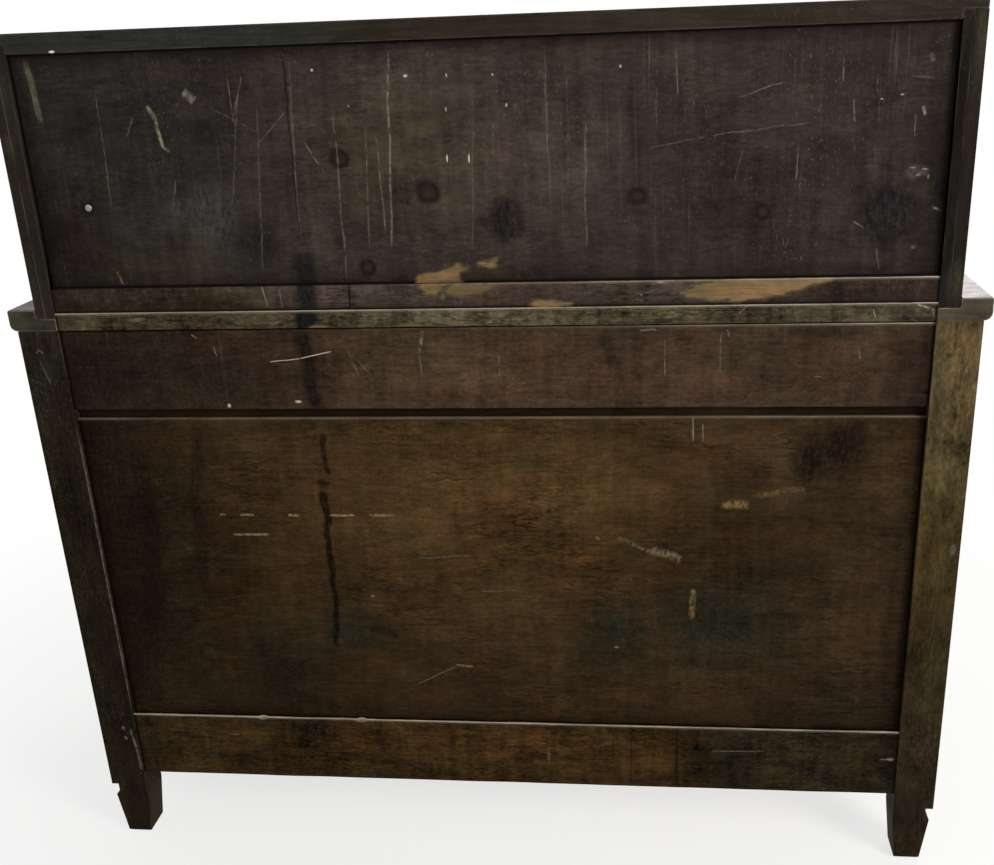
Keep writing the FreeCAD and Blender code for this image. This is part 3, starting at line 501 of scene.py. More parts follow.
def leather_material(name, tone, gilding):
    """Thin dyed hide glued down: a pebbled grain about a millimetre wide, rubbed paler with use."""
    material, add = new_material(name)
    place = add("TexCoord", out="Object")
    pebble = add("TexVoronoi", {"Vector": place, "Scale": 1 / (1.6 * MM)}, feature="SMOOTH_F1")
    rubbed = streaks(add, place, "x", 140, 90, 5.0, 0.62)
    share = add("MapRange", zip(RANGE, (rubbed, 0.36, 0.68)))
    colour = add("Mix", {SHARE: share, BELOW: scaled(tone, 0.7), ABOVE: scaled(tone, 1.5)}, **OVER)
    share = add("MapRange", zip(RANGE, (pebble, 0.3, 0.75, 0.0, 0.35)))
    colour = add("Mix", {SHARE: share, BELOW: colour, ABOVE: scaled(tone, 0.35)}, **OVER)
    line = add("Attribute", out="Fac", attribute_name="tooling")
    flecks = streaks(add, place, "x", 14, 14, 4.0, 0.7)
    left = add("MapRange", zip(RANGE, (flecks, 0.36, 0.5)))
    share = add("Math", {0: line, 1: left}, operation="MULTIPLY")
    colour = add("Mix", {SHARE: share, BELOW: colour, ABOVE: gilding}, **OVER)
    bump = add("Bump", {"Strength": 0.5, "Distance": 0.25 * MM, "Height": pebble}, invert=True)
    dull = add("MapRange", zip(RANGE, (rubbed, 0.3, 0.7, 0.62, 0.42)))
    shader = add("BsdfPrincipled", {"Base Color": colour, "Roughness": dull, "Normal": bump})
    add("OutputMaterial", {"Surface": shader})
    return material


def waves(x, z, length_mm, seed, count=7):
    """Smooth uneven ground, mostly from -1 to 1: a sum of sine waves of one length, each its own way."""
    draw = np.random.default_rng(seed)
    total = np.zeros_like(x)
    for _ in range(count):
        way = draw.uniform(0, 2 * math.pi)
        pitch = 2 * math.pi / (length_mm * MM * draw.uniform(0.6, 1.6))
        total += np.sin(pitch * (x * math.cos(way) + z * math.sin(way)) + draw.uniform(0, 2 * math.pi))
    return total / math.sqrt(count)


def smooth_step(low, high, value):
    """0 below low, 1 above high, with a smooth rise between them."""
    share = np.clip((value - low) / (high - low), 0, 1)
    return share * share * (3 - 2 * share)


def even_lines(low, high, step, arris):
    """Grid lines across a board, even inside and close together in the rounded arris at each end."""
    close = arris * np.array([0, 0.08, 0.25, 0.5, 0.75])
    inside = np.linspace(low + arris, high - arris, max(2, round((high - low) / step)))
    return np.concatenate([low + close, inside, (high - close)[::-1]])


def rounding(distance, radius):
    """Depth of a quarter round below a face, at a distance in from its edge; none outside the edge."""
    inset = np.clip(radius - distance, 0, radius)
    return np.where(distance < 0, 0, radius - np.sqrt(radius ** 2 - inset ** 2))


RING_STEP = 0.25 * MM


def closed_relief(name, x, y, z, y_front, attributes):
    """A closed board from a grid of rear points: the grid, walls around it and a flat front.

    The grid's first index runs along X and its second along Z. Walls join its border, by way of a ring
    just behind it, to the same border on the front plane, which one flat face closes. Each attribute
    comes as its values on the grid, its value on the ring and its value on the front.
    """
    across, up = x.shape
    number = np.arange(across * up).reshape(across, up)
    rear = np.stack([x, y, z], axis=-1).reshape(-1, 3)
    quads = np.stack([number[:-1, :-1], number[:-1, 1:], number[1:, 1:], number[1:, :-1]], axis=-1)
    border = np.concatenate([number[:, 0], number[-1, 1:], number[-2::-1, -1], number[0, -2:0:-1]])
    ring, front = rear[border].copy(), rear[border].copy()
    ring[:, 1] -= RING_STEP
    front[:, 1] = y_front
    first = np.arange(len(border)) + across * up
    second = first + len(border)
    walls = [np.stack([near, np.roll(near, -1), np.roll(far, -1), far], axis=-1)
             for near, far in ((border, first), (first, second))]
    faces = quads.reshape(-1, 4).tolist() + np.concatenate(walls).tolist() + [second.tolist()]
    smooth = np.arange(len(faces)) < quads.shape[0] * quads.shape[1]
    made = new_piece(name, np.concatenate([rear, ring, front]), faces, smooth)
    for label, (values, on_ring, on_front) in attributes.items():
        held = made.data.attributes.new(label, "FLOAT", "POINT")
        every = np.concatenate([values.ravel(), np.repeat([on_ring, on_front], len(border))])
        held.data.foreach_set("value", every.astype(np.float32))
    return made


def new_piece(name, vertices, faces, smooth):
    """A mesh object at the origin from points, faces and whether each face is shaded smooth."""
    mesh = bpy.data.meshes.new(name)
    mesh.from_pydata(vertices, [], faces)
    mesh.polygons.foreach_set("use_smooth", smooth)
    mesh.update()
    made = bpy.data.objects.new(name, mesh)
    bpy.context.scene.collection.objects.link(made)
    return made


def outline_field(x, z, outlines):
    """Distance in from the nearest outline's edge in mm, negative outside; outlines are corners in mm.

    A point lies inside an outline when a ray along X crosses it an odd number of times.
    """
    field = np.full(x.shape, -99.0)
    px, pz = x / MM, z / MM
    for corners in outlines:
        away = np.full(x.shape, 99.0)
        inside = np.zeros(x.shape, bool)
        for (ax, az), (bx, bz) in zip(corners, corners[1:] + corners[:1]):
            along = ((px - ax) * (bx - ax) + (pz - az) * (bz - az)) / ((bx - ax) ** 2 + (bz - az) ** 2)
            along = np.clip(along, 0, 1)
            away = np.minimum(away, np.hypot(px - ax - along * (bx - ax), pz - az - along * (bz - az)))
            level = (az > pz) != (bz > pz)
            crossing = ax + (pz - az) * (bx - ax) / np.where(level, bz - az, 1)
            inside ^= level & (px < crossing)
        field = np.maximum(field, np.where(inside, away, -away))
    return field


def spot_field(x, z, spots):
    """1 in the middle of the nearest spot, 0 at its rim and less outside; spots are ellipses in mm."""
    field = np.full(x.shape, -9.0)
    for centre_x, centre_z, half_width, half_height in spots:
        reach = np.hypot((x - centre_x * MM) / (half_width * MM), (z - centre_z * MM) / (half_height * MM))
        field = np.maximum(field, 1 - reach)
    return field


class BackBoard(NamedTuple):
    """One board of the back: the frame's piece, the slot of its wood, its seed and its wear.

    Flakes are outlines on the rear face; chips and splits are ellipses there: middle x and z, half width
    and half height; all in mm. So much of the lower and the upper edge is hidden in a joint, and an edge
    without a joint has a worn arris. Arrises are rubbed pale, partly wear and partly a painted highlight
    where light catches them, with strengths given from left to right, seen from behind. A tongue starts at
    a height and lies so much deeper.
    """

    piece: str
    slot: str
    seed: int
    bow_mm: float = 0.8
    flakes: tuple = ()
    chips: tuple = ()
    splits: tuple = ()
    hidden_low: float = -1.0
    hidden_high: float = -1.0
    rub_and_highlight_low: tuple = (0.0, 0.0)
    rub_and_highlight_high: tuple = (1.0, 1.0)
    tongue: tuple = ()
    front_mm: float = 0.0


# How deep chips, splits and the tracks of the plane go, how far dirt and painted shade reach out of a
# corner, and how much of them lies on a tongue, which sits in shade in its slot.
CHIP_DEPTH = 2.4 * MM
SPLIT_DEPTH = 4 * MM
TRACK_DEPTH = 0.12 * MM
GRIME_AND_SHADE_REACH = 13 * MM
TONGUE_GRIME_AND_SHADE = 0.83
# Space between the two grid lines where a board steps down to its tongue.
STEP_WIDTH = 0.05 * MM
BACK_BOARDS = (
    BackBoard("desk_back_panel", "stained_back_wood", 11, bow_mm=1.4, hidden_low=6, hidden_high=6, flakes=(
        ((74, 806), (71, 817), (50, 821), (27, 826), (23, 830), (11, 825), (21, 820), (20, 804)),
        ((-1, 830), (-8, 832), (-24, 835), (-21, 826), (-14, 824)),
    )),
    BackBoard("desk_back_rail", "stained_frame_wood", 12, bow_mm=0.4, hidden_low=0,
              rub_and_highlight_high=(0.0, 0.0, 0.5, 0.9), flakes=(
        ((72, 808), (37, 808), (45, 800), (50, 795), (64, 798)),
        ((25, 808), (-21, 808), (-12, 799), (17, 793), (38, 796), (43, 791), (45, 795)),
        ((-59, 780), (-65, 785), (-77, 788), (-111, 782), (-96, 779)),
        ((-236, 793), (-252, 802), (-286, 808), (-407, 808), (-374, 796), (-347, 789), (-316, 784),
         (-280, 784), (-241, 789)),
    )),
    BackBoard("slab_rear_strip", "stained_frame_wood", 16, bow_mm=0.4, rub_and_highlight_high=(0.9, 0.95), flakes=(
        ((102, 758), (81, 762), (57, 757), (60, 755), (101, 755)),
        ((208, 755), (200, 759), (188, 760), (176, 755)),
    ), chips=((-486, 779, 12, 2), (300, 779, 9, 1.6), (-98, 779, 7, 2))),
    BackBoard("back_board", "stained_back_wood", 13, splits=((-512, 670, 20, 1.2),),
              rub_and_highlight_high=(0.0, 0.0, 0.25, 1.0), front_mm=6),
    BackBoard("back_panel", "stained_back_wood", 14, bow_mm=1.2, hidden_low=4, rub_and_highlight_high=(0.3, 0.3),
              tongue=(640, 6)),
    BackBoard("back_bottom_rail", "stained_frame_wood", 15, bow_mm=0.5, rub_and_highlight_high=(0.95, 1.0),
              chips=((336, 203, 7, 3), (196, 203, 9, 4))),
)


def back_board(board, settings):
    """A board of the back: a gentle bow, plane tracks, flakes, chips, splits and worn arrises.

    Depth below the frame's rear face is the sum of the bow, low waves, a step where a flake came off,
    bites at the chips, a quarter round along the shown arrises and the step down to a tongue.
    """
    low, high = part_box(board.piece)
    arris = settings.arris
    edge = board.tongue[0] * MM if board.tongue else high.z
    x_lines = even_lines(low.x, high.x, settings.grid_step, arris)
    z_lines = even_lines(low.z, edge, settings.grid_step, arris)
    if board.tongue:
        above = even_lines(edge + STEP_WIDTH, high.z, settings.grid_step, arris)
        z_lines = np.concatenate([z_lines, above])
    x, z = np.meshgrid(x_lines, z_lines, indexing="ij")
    bow = board.bow_mm * MM * (0.5 + 0.25 * waves(x, z, 700, board.seed, 4))
    tracks = TRACK_DEPTH * (1 + waves(x * 0.2, z, 60, board.seed + 50) / 3)
    depth = np.clip(bow, 0, None) + np.clip(tracks, 0, None)
    bare = np.full(x.shape, -1.0)
    if board.flakes:
        ragged = outline_field(x, z, board.flakes) + 1.2 * waves(x * 0.5, z, 9, board.seed + 60)
        bare = np.clip(ragged / 5, -1, 1)
        depth += settings.flake_depth * smooth_step(-0.1, 0.15, bare)
    if board.chips:
        bite = np.clip(spot_field(x, z, board.chips) + 0.15 * waves(x, z, 7, board.seed + 70), -1, 1)
        depth += CHIP_DEPTH * smooth_step(0.0, 0.7, bite)
        bare = np.maximum(bare, bite)
    if board.splits:
        depth += SPLIT_DEPTH * smooth_step(0.0, 0.6, spot_field(x, z, board.splits))
    radius = np.clip(arris * (1 + 0.3 * waves(x, z, 90, board.seed + 80)), 0.4 * arris, 1.6 * arris)
    # The pale rub along a shown arris is partly wear and partly a painted highlight where light catches it.
    rub_and_highlight = np.zeros_like(x)
    shown_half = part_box("rear_post_right")[0].x
    inset = shown_half - np.abs(x)
    for hidden, distance, ends in ((board.hidden_low, z - low.z, board.rub_and_highlight_low),
                                   (board.hidden_high, edge - z, board.rub_and_highlight_high)):
        if hidden < 0:
            depth += rounding(distance, radius)
            strength = np.interp(x, np.linspace(low.x, high.x, len(ends)), ends[::-1])
            strength = strength * (1 - smooth_step(0.6 * arris, 1.2 * arris, distance))
            rub_and_highlight = np.maximum(rub_and_highlight, strength * (distance >= 0))
        else:
            inset = np.minimum(inset, distance - hidden * MM)
    # Painted shade with dirt: darker within a centimetre or so of a housed edge, and on the tongue in its
    # slot.
    grime_and_shade = np.exp(-np.clip(inset, 0, None) / GRIME_AND_SHADE_REACH)
    if board.tongue:
        depth = np.where(z > edge, board.tongue[1] * MM, depth)
        grime_and_shade = np.where(z > edge, TONGUE_GRIME_AND_SHADE, grime_and_shade)
    shape = {"bare": (bare, -1, -1), "arris": (rub_and_highlight, 0, 0), "grime_and_shade": (grime_and_shade, 1, 0)}
    return closed_relief(f"{board.piece}_worn", x, high.y - depth, z, low.y + board.front_mm * MM, shape)


def knots(places):
    """A dark ring with a browner heart for each knot: rows of the rings' spots, then of the hearts'."""
    rings = tuple((x, z, radius, radius * 0.95, 0.9) for x, z, radius in places)
    hearts = tuple((x, z, radius * 0.6, radius * 0.52, 0.7) for x, z, radius in places)
    return rings, hearts


def rear_stain(tone):
    """The back's stain over all of a piece's rear, fading out a few centimetres round its corner."""
    return layer(tone, 2.5, 8, 0.0, (0, 600, 6000, 6000, 1.0), depth=45)


# Colour of the ink that ran down from the upper panel over the rail and the strip below it.
INK = "#0E1014"


def desk_panel_age(settings):
    """Upper panel: a cool darker +X end, partly soot and partly painted shade, darkened ends beside the
    stiles, a painted shadow under the top board, knots, an ink stain, dried runs, scratches and paint
    spots.
    """
    dark, pale = settings.dark_stain_and_shade, settings.pale_mark
    rings, hearts = knots(((152, 952, 14), (52, 912, 17), (129, 828, 13), (-186, 903, 13), (-325, 883, 12)))
    stains = (
        layer("#453A32", 1.3, 20, 0.3, (20, 990, 280, 140, 0.7)),
        layer("#3F3826", 1.3, 20, 0.4, (95, 960, 130, 110, 0.5)),
        layer("#29211E", 1.4, 22, 0.3, (-420, 950, 330, 280, 0.85), (-190, 845, 240, 60, 0.5)),
        # The #252321 and #170E0D layers darken the +X end, furthest from the light: partly soot, partly
        # painted shade.
        layer("#252321", 1.7, 22, 0.3, (440, 950, 290, 250, 0.95), (300, 860, 130, 100, 0.6)),
        layer("#2C2617", 1.4, 14, 0.4, (400, 835, 120, 36, 0.7), (330, 850, 40, 30, 0.5)),
        layer("#170E0D", 1.4, 12, 0.3, (505, 855, 90, 80, 0.8)),
        # Darkened ends beside the stiles; the band along the top is a painted shadow under the top board;
        # the spot at x 262 is a stain.
        layer(dark, 1.4, 12, 0.3, (-512, 920, 26, 190, 0.7), (262, 852, 50, 50, 0.7),
              (0, 1076, 560, 12, 0.5), (520, 950, 22, 170, 0.5)),
    )
    marks = (
        layer(dark, 3.0, 3, 0.35, *rings),
        layer("#352C26", 2.0, 2, 0.7, *hearts),
        layer("#0E0E10", 2.2, 9, 0.6, (-33, 882, 28, 28, 0.9), (-464, 876, 46, 42, 0.95),
              (-12, 882, 16, 9, 0.7), (-455, 1010, 24, 18, 0.5), (300, 985, 30, 20, 0.5),
              (-517, 906, 9, 24, 0.95)),
        layer(INK, 1.4, 8, 0.4, (209, 850, 206, 765, 44, 0.85)),
        layer(dark, 1.2, 1.5, 0.2, (459, 904, 13, 13, 0.8),
              (203, 1078, 209, 846, 3.4, 0.8)),
        layer("#4C4C4C", 1.5, 9, 1.0, (312, 890, 40, 50, 0.5), (345, 902, 30, 18, 0.45),
              (290, 850, 24, 20, 0.25)),
        layer("#4B4632", 1.6, 6, 0.5, (58, 985, 30, 10, 0.6)),
        layer(pale, 1.8, 1.6, 0.92, (85, 1077, 99, 847, 3.1, 0.64), (107, 983, 105, 865, 2.3, 0.44),
              (197, 1071, 208, 861, 2.2, 0.32), (153, 1009, 156, 810, 2.5, 0.40),
              (118, 990, 126, 847, 2.2, 0.32), (-88, 1067, -86, 937, 2.2, 0.32),
              (-130, 994, -127, 843, 2.5, 0.36), (-111, 1047, -109, 917, 2.0, 0.20),
              (-6, 1012, 4, 841, 2.0, 0.20), (426, 1039, 431, 902, 2.0, 0.32),
              (258, 1038, 283, 904, 2.0, 0.28), (240, 1019, 258, 814, 2.2, 0.28),
              (-229, 1060, -230, 1010, 2.2, 0.40), (-208, 1018, -208, 986, 2.2, 0.40),
              (-405, 1045, -406, 1017, 2.2, 0.40), (-419, 1001, -420, 976, 2.2, 0.40),
              (-442, 1027, -443, 1004, 2.2, 0.36), (-361, 956, -359, 915, 2.2, 0.40),
              (-484, 985, -485, 958, 2.2, 0.32), (-301, 952, -292, 914, 2.2, 0.28),
              (-292, 1006, -347, 1021, 2.2, 0.36), (-199, 955, -264, 966, 2.0, 0.24),
              (-264, 966, -374, 978, 2.0, 0.28), (190, 972, 172, 940, 2.3, 0.40),
              (355, 905, 348, 935, 2.0, 0.32), (290, 1010, 245, 985, 1.8, 0.24),
              (271, 1046, 268, 989, 2.2, 0.45), (254, 1047, 270, 995, 2.2, 0.45),
              (207, 1007, 247, 970, 2.0, 0.30), (386, 1005, 399, 983, 2.2, 0.40),
              (-424, 870, -437, 863, 2.2, 0.45), (-452, 840, -457, 814, 2.2, 0.35),
              (-475, 1023, -501, 1019, 2.2, 0.22), (-508, 885, -521, 880, 3.4, 0.70)),
        layer("#C9C2B4", 2.5, 0.6, 0.2, (172, 1049, 1.9, 1.9, 0.8), (68, 1040, 3.0, 1.9, 0.75),
              (22, 1039, 1.2, 2.6, 0.5), (-29, 1038, 1.4, 1.6, 0.6), (-43, 1006, 1.4, 2.4, 0.6),
              (-169, 1042, 1.6, 2, 0.6), (27, 950, 1.1, 5, 0.9), (2, 949, 1.1, 6, 0.9),
              (135, 1010, 1, 1.6, 0.4), (25, 1003, 1, 3, 0.5), (-468, 1004, 2.4, 1.0, 0.4),
              (-447, 1000, 2, 1.0, 0.4), (-485, 927, 3.5, 1.0, 0.26), (-498, 925, 4, 1.1, 0.28),
              (-491, 919, 3, 1.0, 0.24), (-502, 917, 1.4, 3, 0.2)),
        layer(pale, 1.6, 6, 0.92, (-491, 922, 18, 8, 0.24), (-440, 925, 10, 4, 0.12),
              (325, 1030, 310, 1018, 14, 0.8)),
        layer("#8C866E", 2.2, 1.2, 0.8, (368, 1018, 360, 1000, 6, 0.6), (361, 1003, 357, 970, 5, 0.8),
              (357, 972, 350, 966, 4, 0.6), (-491, 992, -494, 982, 4, 0.6),
              (-494, 1045, -499, 1036, 6, 0.3), (-491, 840, 4, 3, 0.2), (438, 829, 433, 811, 4, 0.5),
              (503, 1071, 498, 1001, 9, 0.38)),
    )
    return {"stains": stains, "marks": marks}


def desk_rail_age(settings):
    """Rail under the upper panel: an olive end, the ink stain, a joint and a crack."""
    stains = (
        layer("#2C2518", 2.0, 10, 0.4, (400, 792, 190, 44, 1.0)),
        layer("#2A201A", 1.6, 10, 0.4, (-465, 792, 165, 44, 0.95)),
        layer("#1C1411", 1.3, 8, 0.4, (520, 795, 70, 40, 0.8)),
    )
    marks = (
        layer(INK, 1.5, 6, 0.3, (206, 840, 206, 750, 44, 0.95)),
        layer(settings.dark_stain_and_shade, 2.0, 0.6, 0.0, (153, 812, 155, 770, 3, 0.95)),
        layer(settings.pale_mark, 2.0, 0.8, 0.4, (259, 808, 255, 783, 2.6, 0.85),
              (238, 806, 237, 780, 2, 0.35), (-190, 792, 1.6, 1.6, 0.9), (-212, 806, 6, 2, 0.9)),
    )
    return {"stains": stains, "marks": marks}


def strip_age(settings):
    """Rear strip of the slab: the ink stain, browner and greyer lengths."""
    stains = (
        layer("#383020", 1.3, 14, 0.4, (430, 766, 200, 50, 0.85)),
        layer("#544D3C", 1.3, 12, 0.4, (-60, 768, 170, 26, 0.7)),
        layer("#393226", 1.6, 12, 0.3, (-430, 768, 280, 60, 0.95)),
    )
    marks = (
        layer(INK, 2.0, 5, 0.2, (209, 800, 209, 730, 42, 1.0)),
        layer(settings.dark_stain_and_shade, 1.4, 4, 0.6, (150, 766, 16, 7, 0.5), (-215, 761, 24, 5, 0.5),
              (-420, 764, 22, 6, 0.5), (320, 764, 30, 6, 0.5), (-495, 760, 30, 5, 0.9)),
        layer(settings.pale_mark, 1.8, 2, 0.6, (-452, 772, -456, 762, 2.4, 0.8),
              (-310, 776, -300, 768, 2, 0.5), (420, 770, 14, 3, 0.4)),
        layer(settings.arris_wear_and_highlight, 1.8, 1.5, 0.8, (-500, 777, -517, 772, 3, 0.8),
              (-518, 773, -520, 761, 3.4, 0.7)),
    )
    return {"stains": stains, "marks": marks}


def back_board_age(settings):
    """Board under the slab: a darker +X end, partly soot and partly painted shade, dark drips, pale streaks
    and a curved scratch.
    """
    stains = (
        layer("#4B3A2A", 1.3, 16, 0.4, (60, 700, 190, 70, 0.8)),
        layer("#32251A", 1.3, 16, 0.4, (-420, 700, 220, 90, 0.8)),
        # These two layers darken mostly the +X end, furthest from the light: partly soot, partly painted
        # shade.
        layer("#211911", 2.0, 20, 0.3, (470, 700, 300, 160, 0.95), (-520, 700, 50, 80, 0.6)),
        layer("#130E0A", 1.4, 14, 0.3, (520, 710, 110, 80, 0.85)),
    )
    marks = (
        layer(settings.dark_stain_and_shade, 1.6, 7, 0.5, (216, 760, 213, 645, 30, 1.0),
              (-144, 755, -165, 674, 24, 0.55), (-400, 745, 60, 14, 0.45), (60, 752, 70, 6, 0.4)),
        layer(settings.pale_mark, 1.6, 2.2, 0.93, (167, 733, 151, 692, 2.0, 0.4),
              (153, 716, 137, 696, 2.0, 0.4), (70, 752, 75, 725, 5, 0.7), (75, 728, 76, 690, 2.6, 0.4),
              (-217, 744, -218, 690, 2.4, 0.4), (-281, 748, -283, 693, 2.2, 0.35),
              (-21, 722, -19, 695, 2.2, 0.4), (356, 751, 350, 746, 3, 0.6),
              (330, 735, 327, 722, 3, 0.55), (-439, 726, -441, 710, 2.4, 0.5),
              (-186, 750, -212, 748, 2.6, 0.6), (-288, 750, -291, 741, 3, 0.5),
              (-391, 690, -399, 689, 2.2, 0.5)),
        layer("#D0C8B8", 2.2, 0.6, 0.2, (263, 714, 222, 718, 1.5, 0.6), (224, 718, 183, 727, 1.7, 0.65),
              (321, 658, 2.6, 3, 0.75), (232, 663, 5, 2.2, 0.65)),
    )
    return {"stains": stains, "marks": marks}


def back_panel_age(settings):
    """Large panel: an amber middle, darker ends, partly soot and partly painted shade, a painted shadow
    along its top, greenish smears, a dark run, dashes and bare streaks.
    """
    soot_and_shade = "#0D0905"
    stains = (
        layer("#46331C", 1.3, 26, 0.25, (-10, 530, 330, 190, 0.9)),
        layer("#251B11", 1.4, 26, 0.3, (-420, 450, 280, 300, 0.7), (-380, 240, 280, 110, 0.95),
              (60, 240, 320, 80, 0.6)),
        layer("#171B13", 1.4, 22, 0.5, (290, 300, 85, 95, 0.65), (205, 335, 80, 50, 0.9),
              (-155, 345, 90, 80, 0.85), (-290, 345, 150, 90, 1.0)),
        # Darker ends, partly soot and partly painted shade; the band along the top is a painted shadow
        # under the board above.
        layer(soot_and_shade, 1.6, 24, 0.3, (545, 430, 260, 520, 0.9), (-540, 330, 70, 300, 0.6),
              (450, 230, 230, 120, 0.5), (-10, 632, 540, 14, 0.3), (-408, 592, 70, 60, 0.5)),
    )
    marks = (
        layer(soot_and_shade, 1.5, 8, 0.6, (446, 611, 470, 330, 38, 0.65), (371, 630, 395, 381, 24, 0.6),
              (-391, 588, 26, 48, 1.0), (-428, 602, 36, 38, 1.0), (-400, 500, 16, 10, 0.4),
              (180, 345, 130, 330, 16, 0.7), (-95, 352, -200, 350, 14, 0.45),
              (-190, 300, -330, 296, 18, 0.5), (-330, 375, -440, 360, 12, 0.4)),
        layer("#050302", 1.9, 5, 0.3, (207, 618, 206, 562, 11, 0.8), (217, 549, 9, 8, 0.8),
              (219, 542, 213, 490, 14, 0.95), (215, 505, 217, 420, 12, 0.95),
              (217, 435, 221, 312, 11, 0.95)),
        layer("#90805C", 1.8, 1.0, 0.75, (357, 507, 348, 507, 4, 0.7), (330, 507, 310, 507, 4, 0.6),
              (265, 507, 250, 507, 5, 0.7), (212, 507, 177, 508, 4, 0.75), (160, 508, 125, 508, 4, 0.6),
              (343, 479, 292, 480, 4.4, 0.65), (60, 289, 36, 286, 4, 0.5), (-155, 320, 4, 2.2, 0.7),
              (-130, 480, -135, 476, 4, 0.5)),
        layer(settings.pale_mark, 1.8, 0.8, 0.65, (165, 391, 3, 2.4, 0.95),
              (116, 257, 56, 288, 2.4, 0.3), (101, 447, 26, 452, 2.2, 0.25),
              (-251, 640, -251, 607, 3, 0.55), (-263, 632, -263, 607, 2.6, 0.45),
              (20, 400, -25, 402, 2.2, 0.3)),
        layer(settings.bare_wood, 1.6, 4, 0.95, (-284, 526, -318, 525, 14, 0.85),
              (-322, 536, -388, 548, 10, 0.4), (-254, 410, -253, 362, 10, 0.75)),
        layer("#7A6B52", 1.6, 4, 0.95, (-155, 479, -211, 458, 8, 0.4), (-200, 462, -238, 449, 14, 0.6)),
    )
    return {"stains": stains, "marks": marks}


def bottom_rail_age(settings):
    """Bottom rail: a darker +X end, partly soot and partly painted shade, a greener length past a worn
    seam, and dashes.
    """
    soot_and_shade = "#0E0A05"
    stains = (
        layer("#3A2813", 1.3, 20, 0.4, (110, 160, 360, 80, 0.8)),
        layer("#1A190F", 2.5, 5, 0.4, (-410, 150, 182, 130, 0.85)),
        # A darker +X end, furthest from the light: partly soot, partly painted shade.
        layer(soot_and_shade, 1.5, 20, 0.4, (525, 150, 100, 110, 0.3)),
    )
    marks = (
        # Chips showing bare wood, paled further by a painted highlight.
        layer(settings.arris_wear_and_highlight, 2.0, 2, 0.8, (336, 202, 8, 4, 0.8), (196, 202, 11, 5, 0.85)),
        layer(soot_and_shade, 2.0, 1.5, 0.5, (-173, 205, -172, 100, 3, 0.6), (-234, 205, -234, 100, 4, 0.8),
              (-300, 130, 40, 26, 0.4), (330, 130, 60, 26, 0.2)),
        layer(settings.pale_mark, 1.8, 0.9, 0.6, (386, 173, 374, 173, 2.4, 0.5),
              (-500, 159, -510, 160, 2.4, 0.5), (-514, 160, 6, 3, 0.95),
              (-279, 166, -351, 168, 2.2, 0.35), (-60, 150, 3, 10, 0.3)),
    )
    return {"stains": stains, "marks": marks}


def post_age(settings):
    """Rear posts: the +X one darker, partly soot and partly painted shade, the other paled to olive, dark
    feet, small knots, scratches, a rubbed edge and a painted highlight down the +X post's inner arris.
    """
    stains = (
        rear_stain(settings.post),
        layer("#52452D", 1.3, 14, 0.3, (-549, 700, 120, 240, 0.9)),
        layer("#2E281C", 1.4, 6, 0.5, (-531, 690, 12, 110, 0.8), (-560, 752, 30, 10, 0.6)),
        layer("#221B11", 1.3, 14, 0.3, (-549, 90, 140, 460, 1.0)),
        # The +X post is darker, furthest from the light: partly soot, partly painted shade.
        layer("#17120B", 2.5, 8, 0.2, (549, 420, 110, 700, 1.0)),
        layer("#231E19", 1.3, 8, 0.2, (549, 740, 110, 170, 0.9)),
        layer("#2C2819", 1.4, 4, 0.4, (566, 420, 9, 500, 0.35)),
        layer("#1E170D", 2.0, 8, 0.2, (0, 40, 6000, 120, 0.9), depth=90),
    )
    marks = (
        layer("#120E09", 2.0, 3, 0.5, (-540, 716, 5, 4, 0.7), (-552, 680, 7, 4, 0.5),
              (-546, 610, 4, 4, 0.7), (-540, 500, 5, 4, 0.6), (-556, 560, 9, 20, 0.4)),
        # A painted highlight: the pale line down the +X post's inner arris stands for light on its inner
        # face.
        layer(settings.arris_wear_and_highlight, 2.0, 0.1, 0.8, (523.5, 645, 523.5, 205, 1.4, 0.3)),
        layer(settings.arris_wear_and_highlight, 1.8, 2.5, 0.9, (530, 180, 526, 108, 5, 0.35), (541, 180, 3, 4, 0.5),
              (540, 164, 3, 4, 0.5), (-560, 700, 3, 5, 0.3)),
        layer(settings.pale_mark, 1.8, 2, 0.7, (555, 720, 545, 690, 3, 0.3),
              (557, 728, 553, 734, 3, 0.5), (553, 734, 548, 728, 3, 0.5), (-566, 470, 5, 10, 0.3)),
    )
    return {"stains": stains, "marks": marks}


def stile_age(settings):
    """Stiles of the desk case: a grey one, a sooty one and a few olive rubs."""
    stains = (
        rear_stain(settings.stile),
        layer("#2B2621", 2.0, 4, 0.4, (540, 930, 60, 300, 0.9)),
        layer("#100D0A", 2.0, 4, 0.4, (-526, 930, 12, 200, 0.9), (-536, 860, 20, 70, 0.4)),
        layer("#3E3929", 1.4, 4, 0.6, (-543, 1060, 9, 60, 0.6), (-540, 800, 14, 30, 0.5),
              (537, 978, 9, 18, 0.8)),
    )
    return {"stains": stains}


def slab_age(settings):
    """Waist slab: sooty and olive ends."""
    stains = (
        rear_stain(scaled(settings.slab_edge, 0.6)),
        layer("#15130D", 1.6, 6, 0.3, (540, 768, 50, 30, 0.9), (-560, 760, 26, 16, 0.5)),
        layer("#37361A", 1.5, 5, 0.5, (566, 768, 12, 14, 0.8), (-545, 772, 14, 8, 0.5)),
    )
    return {"stains": stains}


def top_age(settings):
    """Top board: a cool grey length, two browner ones and one spot of paint."""
    stains = (
        rear_stain(settings.top_edge),
        layer("#2A2C29", 2.5, 10, 0.2, (400, 1088, 300, 60, 1.0)),
        layer("#332D23", 1.3, 8, 0.6, (-120, 1088, 120, 14, 0.4), (-380, 1088, 90, 14, 0.3)),
    )
    marks = (
        layer("#E4DED2", 2.5, 0.6, 0.0, (466, 1078.5, 4, 1.6, 1.0)),
    )
    return {"stains": stains, "marks": marks}


